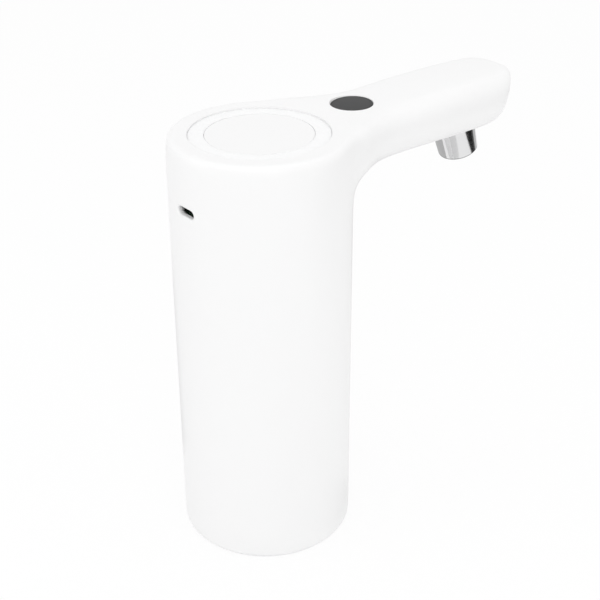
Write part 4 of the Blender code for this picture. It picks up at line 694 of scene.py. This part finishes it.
up_nozzle = along_axis.node("ShaderNodeSeparateXYZ", {}, {"Vector": along_axis}, "Z")
polished = (tool_lines * 0.5 + polish * 0.5).mix(darker(STEEL, 0.05), STEEL)
set_surface(nozzle_steel, {
    # The lip's colour is half as bright as the rest: painted shade on the rounded mouth.
    "Base Color": up_nozzle.above(1.2 * NOZZLE_LIP, 0.0002).mix(darker(STEEL, 0.5), polished),
    "Roughness": (tool_lines - 0.5) * 0.04 + (polish - 0.5) * 0.04 + 0.08,
    "Metallic": 1.0,
    "Normal": tool_lines.relief(0.0000008),
})
nozzle_section = [(NOZZLE_BORE, NOZZLE_LENGTH), (NOZZLE_TOP_RADIUS, NOZZLE_LENGTH)]
for degrees in range(0, 91, 15):
    turn = math.radians(degrees)
    nozzle_section.append((NOZZLE_MOUTH_RADIUS - NOZZLE_LIP * (1 - math.cos(turn)),
                           NOZZLE_LIP * (1 - math.sin(turn))))
nozzle_section += [(NOZZLE_MOUTH_RADIUS - NOZZLE_WALL, 0),
                   (NOZZLE_MOUTH_RADIUS - NOZZLE_WALL, NOZZLE_DEPTH), (NOZZLE_BORE, NOZZLE_DEPTH)]
nozzle = softened(turned(nozzle_section, NOZZLE_SIDES, NOZZLE_PLACE, NOZZLE_TILT), NOZZLE_EDGE, 3)
spout_nozzle = object_of("spout_nozzle_sleeve", nozzle, nozzle_steel, 50)
even(spout_nozzle)
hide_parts("spout_nozzle")
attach(spout_nozzle, "pump")


# Flow insert. A white moulded disc pressed up the nozzle, with six holes in a ring that calm the
# water before it leaves.
INSERT_TOP = 0.0069
INSERT_BOTTOM = 0.0054
INSERT_RADIUS = 0.0063
INSERT_EDGE = 0.0002
INSERT_SIDES = 64
INSERT_HOLES = 6
INSERT_HOLE_RADIUS = 0.0009
INSERT_HOLE_SIDES = 24
white_plastic = moulded("white_plastic", (0.80, 0.805, 0.81), 0.42, grain=0.0003, relief=0.000004,
                        drift=0.03)
insert_section = [(0, INSERT_TOP), (INSERT_RADIUS, INSERT_TOP), (INSERT_RADIUS, INSERT_BOTTOM),
                  (0, INSERT_BOTTOM)]
disc = softened(turned(insert_section, INSERT_SIDES), INSERT_EDGE, 3)
flow_insert = object_of("flow_insert_disc", disc, None, 50)
hole_section = [(0, INSERT_TOP + OVERRUN), (INSERT_HOLE_RADIUS, INSERT_TOP + OVERRUN),
                (INSERT_HOLE_RADIUS, INSERT_BOTTOM + INSERT_EDGE),
                (INSERT_HOLE_RADIUS + 2 * INSERT_EDGE, INSERT_BOTTOM - INSERT_EDGE),
                (0, INSERT_BOTTOM - INSERT_EDGE)]
holes = []
for index in range(INSERT_HOLES):
    angle = math.tau * index / INSERT_HOLES
    place = Vector((math.cos(angle), math.sin(angle), 0)) * (INSERT_RADIUS / 2)
    holes.append(object_of("hole", turned(hole_section, INSERT_HOLE_SIDES, place)))
combined(flow_insert, "DIFFERENCE", holes)
flow_insert.data.transform(Matrix.Translation(NOZZLE_PLACE) @ Matrix.Rotation(-NOZZLE_TILT, 4, "Y"))
finished(flow_insert, white_plastic)
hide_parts("flow_insert")
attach(flow_insert, "pump")


# Neck end. A white plate closes the bay above the bottle, held up by three screws, with a clear
# silicone ring under it for the bottle's lip and a barbed fitting for the drop hose. The outlet tube
# is of the same silicone.
PLATE_BOTTOM = 0.0270
SEAL_OUTER = 0.0277
SEAL_INNER = 0.0225
SEAL_TOP = 0.0267
SEAL_BOTTOM = 0.0249
SEAL_EDGE = 0.0005
SEAL_SIDES = 128
SCREWS = 3
SCREW_CIRCLE = 0.0180
SCREW_START = math.radians(50)
SCREW_RADIUS = 0.0021
SCREW_HEIGHT = 0.0012
SCREW_GAP = 0.00005
SCREW_EDGE = 0.0005
SCREW_SIDES = 40
SCREW_SLOT = (0.0024, 0.0005, 0.0012)


def dress(finish, *names):
    """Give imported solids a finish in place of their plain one."""
    for name in names:
        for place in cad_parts[name].material_slots:
            place.material = finish


dress(white_plastic, "base_plate", "inlet_barb")
silicone_clear, silicone_place = new_finish("silicone_clear")
cloud = silicone_place.noise(0.003, 3.0)
set_surface(silicone_clear, {
    "Base Color": cloud.mix((0.66, 0.68, 0.69), (0.76, 0.78, 0.79)),
    "Roughness": (cloud - 0.5) * 0.15 + 0.45,
    "Subsurface Weight": 0.3,
    "Subsurface Radius": (0.003, 0.003, 0.003),
    "Subsurface Scale": 1.0,
    "Normal": silicone_place.noise(0.0003, 3.0).relief(0.000004),
})
seal_section = [(SEAL_INNER, SEAL_TOP), (SEAL_OUTER, SEAL_TOP), (SEAL_OUTER, SEAL_BOTTOM),
                (SEAL_INNER, SEAL_BOTTOM)]
seal = softened(turned(seal_section, SEAL_SIDES), SEAL_EDGE)
neck_seal = object_of("neck_seal_ring", seal, silicone_clear, 50)
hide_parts("neck_seal")
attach(neck_seal, "pump")
dress(silicone_clear, "outlet_tube")

screw_steel = metal("screw_steel", (0.55, 0.555, 0.56), 0.3, grain=0.0002)
screw_section = [(0, -SCREW_GAP), (SCREW_RADIUS, -SCREW_GAP), (SCREW_RADIUS, -SCREW_HEIGHT),
                 (0, -SCREW_HEIGHT)]
for index in range(SCREWS):
    angle = math.tau * index / SCREWS + SCREW_START
    place = Vector((math.cos(angle), math.sin(angle), 0)) * SCREW_CIRCLE + Vector((0, 0, PLATE_BOTTOM))
    head = softened(turned(screw_section, SCREW_SIDES, place), SCREW_EDGE)
    screw = object_of(f"plate_screw_{index}", head, None, 50)
    low = Matrix.Translation(place - Vector((0, 0, SCREW_HEIGHT)))
    slots = []
    for turn in (0, math.pi / 2):
        slot = bmesh.new()
        bmesh.ops.create_cube(slot, size=1.0, matrix=low @ Matrix.Rotation(turn + angle, 4, "Z")
                              @ Matrix.Diagonal((*SCREW_SLOT, 1)))
        slots.append(object_of("slot", slot))
    combined(screw, "DIFFERENCE", slots)
    finished(screw, screw_steel)
    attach(screw, "pump")


# Button spring. Three turns of round spring wire about the stem's guide lift the button. It stands
# on the deck frame and shortens by the button's travel.
SPRING_RADIUS = 0.0098
SPRING_WIRE_RADIUS = 0.00035
SPRING_BOTTOM = 0.1415
SPRING_TOP = 0.1454
SPRING_TURNS = 3
SPRING_TURN_STEPS = 36
SPRING_WIRE_SIDES = 12
spring_steel = metal("spring_steel", (0.58, 0.585, 0.59), 0.25, grain=0.0003)
coil = bmesh.new()
wire_end = Matrix.Translation((SPRING_RADIUS, 0, SPRING_BOTTOM + SPRING_WIRE_RADIUS))
wire = bmesh.ops.create_circle(coil, segments=SPRING_WIRE_SIDES, radius=SPRING_WIRE_RADIUS,
                               matrix=wire_end @ Matrix.Rotation(math.pi / 2, 4, "X"))["verts"]
spring_steps = SPRING_TURNS * SPRING_TURN_STEPS
rise = (SPRING_TOP - SPRING_BOTTOM - 2 * SPRING_WIRE_RADIUS) / spring_steps
bmesh.ops.spin(coil, geom=wire + coil.edges[:], cent=(0, 0, 0), axis=(0, 0, 1), dvec=(0, 0, rise),
               angle=math.tau * SPRING_TURNS, steps=spring_steps, use_merge=False)
bmesh.ops.holes_fill(coil, edges=coil.edges, sides=SPRING_WIRE_SIDES)
button_spring = object_of("button_spring_coil", coil, spring_steel, 50)
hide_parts("button_spring")
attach(button_spring, "pump")
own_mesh(button_spring)


# Works inside. The button's frame and switch, the boards, the cell and the leads hang from the deck
# and the inner frame. All of them are bought-in or plainly moulded parts.
frame_plastic = moulded("frame_plastic", (0.16, 0.165, 0.17), 0.5, grain=0.0003, relief=0.000005,
                        drift=0.1)
dress(frame_plastic, "deck_frame")
dress(white_plastic, "inner_frame", "spout_elbow")
dress(black_plastic, "push_switch", "display_module", "controller_chip", "capacitor")

circuit_board, board_place = new_finish("circuit_board")
tracks = board_place.node("ShaderNodeTexBrick", {"offset": 0.37, "squash": 0.6}, {
    "Vector": board_place, "Scale": 260.0, "Mortar Size": 0.06, "Mortar Smooth": 0.2}, "Fac")
pads = board_place.node("ShaderNodeTexVoronoi", {}, {"Vector": board_place, "Scale": 420.0}, "Distance")
pads = 1 - pads.above(0.22, 0.04)
cloud = board_place.noise(0.004, 2.0)
solder_mask = tracks.mix((0.010, 0.040, 0.020), (0.018, 0.068, 0.032))
set_surface(circuit_board, {
    "Base Color": pads.mix(solder_mask, (0.50, 0.48, 0.42)),
    "Roughness": cloud * 0.12 + 0.30,
    "Metallic": pads * 0.7,
    "Normal": (tracks + pads * 0.6).relief(0.00002),
})
dress(circuit_board, "button_board", "display_board", "main_board")

cell_sleeve, sleeve_place = new_finish("cell_sleeve")
shrink = sleeve_place.noise(0.003, 3.0, 0.5, (1.0, 1.0, 0.15))
set_surface(cell_sleeve, {
    "Base Color": shrink.mix((0.016, 0.10, 0.29), (0.02, 0.13, 0.36)),
    "Roughness": shrink * 0.12 + 0.24,
    "Normal": shrink.relief(0.00003),
})
dress(cell_sleeve, "battery_cell")
wire_red = moulded("wire_red", (0.50, 0.02, 0.018), 0.42, grain=0.0006, relief=0.000006, drift=0.12)
wire_black = moulded("wire_black", (0.02, 0.02, 0.021), 0.42, grain=0.0006, relief=0.000006, drift=0.2)
dress(wire_red, "motor_lead_red", "cell_lead_red")
dress(wire_black, "motor_lead_black", "cell_lead_black")
gear_plastic = moulded("gear_plastic", (0.78, 0.76, 0.68), 0.4, grain=0.0003, relief=0.000004,
                       drift=0.05)
dress(gear_plastic, "lead_connector", "drive_gear", "idler_gear")


# Motor and pump. A small can motor with two curved magnets stands on the gear pump, which is moulded
# in dark glass-filled plastic. A rubber lip seals the shaft between the two.
motor_steel = metal("motor_steel", (0.56, 0.565, 0.57), 0.30, grain=0.0003, stretch=(1.0, 1.0, 0.08))
magnet_black = moulded("magnet_black", (0.05, 0.05, 0.052), 0.62, grain=0.0003, relief=0.00001,
                       drift=0.25)
bronze = metal("bronze", (0.52, 0.33, 0.16), 0.38, grain=0.00025, relief=0.000004, dull=0.2)
pump_plastic = moulded("pump_plastic", (0.075, 0.08, 0.085), 0.48, grain=0.0003, relief=0.000006,
                       drift=0.2)
rubber_black = moulded("rubber_black", (0.022, 0.022, 0.022), 0.66, grain=0.0004, relief=0.00001,
                       drift=0.25)
dress(motor_steel, "motor_can", "motor_rotor")
dress(white_plastic, "motor_end_cap")
dress(magnet_black, "magnet_left", "magnet_right")
dress(bronze, "front_bushing")
dress(pump_plastic, "pump_cover", "pump_body")
dress(rubber_black, "shaft_seal", "nozzle_gasket")
dress(screw_steel, "idler_pin")


# Studio. The pump stands on a white sweep under a bright overcast of light, with a large softbox
# above the camera, one overhead and three weaker ones low around the near side. Cards on the floor,
# which only reflections show, give the polished nozzle its dark and pale stripes.
FLOOR_RADIUS = 3.0
FLOOR_GLOW = 0.88
AMBIENT = 0.80
LAMP_AIM = Vector((0.02, 0, 0.10))
CARD_HEIGHT = 0.001


def in_view(shade):
    """1 for what the camera sees, straight or in polished metal, and 0 for light on the pump."""
    seen = shade.node("ShaderNodeLightPath", {}, {}, "Is Camera Ray")
    for kind in ("Is Glossy Ray", "Is Transmission Ray"):
        seen = seen.math("MAXIMUM", seen, shade.node("ShaderNodeLightPath", {}, {}, kind))
    return seen


floor_shape = bmesh.new()
bmesh.ops.create_circle(floor_shape, cap_ends=True, segments=96, radius=FLOOR_RADIUS)
floor_white, floor_place = new_finish("floor_white")
set_surface(floor_white, {"Base Color": (0.92, 0.92, 0.92, 1.0), "Roughness": 0.8,
                          "Specular IOR Level": 0.0})
seen = in_view(floor_place)
lit = Shade(floor_white.node_tree, floor_white.node_tree.nodes["Principled BSDF"].outputs[0])
glow = seen.node("ShaderNodeEmission", {}, {"Color": (1, 1, 1, 1), "Strength": 1.0})
paper = seen.node("ShaderNodeMixShader", {}, {0: seen * FLOOR_GLOW, 1: lit, 2: glow})
floor_white.node_tree.links.new(paper.socket, floor_white.node_tree.nodes["Material Output"].inputs[0])
floor = object_of("floor", floor_shape, floor_white)

studio = bpy.data.worlds.new("studio")
bpy.context.scene.world = studio
studio.use_nodes = True
strength = in_view(Shade(studio.node_tree)) * (1 - AMBIENT) + AMBIENT
backdrop = studio.node_tree.nodes["Background"]
backdrop.inputs["Color"].default_value = (1, 1, 1, 1)
studio.node_tree.links.new(strength.socket, backdrop.inputs["Strength"])


def softbox(name, place, width, height, power):
    """Area lamp that faces the pump from a place given as right of, behind and above it in view."""
    lamp = bpy.data.lights.new(name, "AREA")
    lamp.shape = "RECTANGLE"
    lamp.size = width
    lamp.size_y = height
    lamp.energy = power
    made = bpy.data.objects.new(name, lamp)
    bpy.context.collection.objects.link(made)
    position = LAMP_AIM + camera_turn.to_3x3() @ Vector(place)
    aim = (LAMP_AIM - position).to_track_quat("-Z", "Y").to_matrix().to_4x4()
    made.matrix_world = Matrix.Translation(position) @ aim


softbox("key_softbox", (0, -0.8, 0.8), 0.9, 0.9, 1.85)
softbox("top_softbox", (0, 0.1, 1.15), 0.9, 0.9, 2.13)
softbox("front_softbox", (0.25, -1.05, 0.15), 0.7, 0.7, 1.06)
softbox("left_softbox", (-1.0, -0.25, 0.25), 0.6, 0.8, 1.35)
softbox("right_softbox", (0.95, -0.35, 0.25), 0.6, 0.8, 0.71)


def card(name, tone, corners):
    """Matt card on the floor, which only reflections show."""
    shape = bmesh.new()
    bmesh.ops.contextual_create(shape, geom=[shape.verts.new((x, y, CARD_HEIGHT)) for x, y in corners])
    paint = set_surface(new_finish(name)[0], {
        "Base Color": (tone, tone, tone, 1.0), "Roughness": 0.9, "Specular IOR Level": 0.0})
    made = object_of(name, shape, paint)
    for ray in ("camera", "diffuse", "transmission", "shadow", "volume_scatter"):
        setattr(made, f"visible_{ray}", False)


card("black_flag", 0.02, [(0.12, -0.212), (0.25, -0.166), (0.345, -0.11), (0.60, -0.238),
                          (0.45, -0.45), (0.10, -0.35)])
card("dim_card", 0.09, [(0.345, -0.11), (0.385, -0.065), (0.60, -0.125), (0.60, -0.238)])
card("edge_card", 0.55, [(0.385, -0.065), (0.60, -0.125), (0.66, 0.05), (0.50, 0.14), (0.40, -0.045)])
card("grey_card", 0.54, [(-0.03, 0.055), (0.0335, 0.0285), (0.035, 0.06), (0.135, 0.06), (0.27, 0.08),
                         (0.27, 0.27), (0.0, 0.20)])
card("near_card", 0.72, [(0.038, -0.014), (0.036, -0.05), (0.05, -0.10), (0.0, -0.12), (-0.04, -0.05),
                         (0.0, -0.038)])
bpy.context.scene.view_settings.view_transform = "Standard"
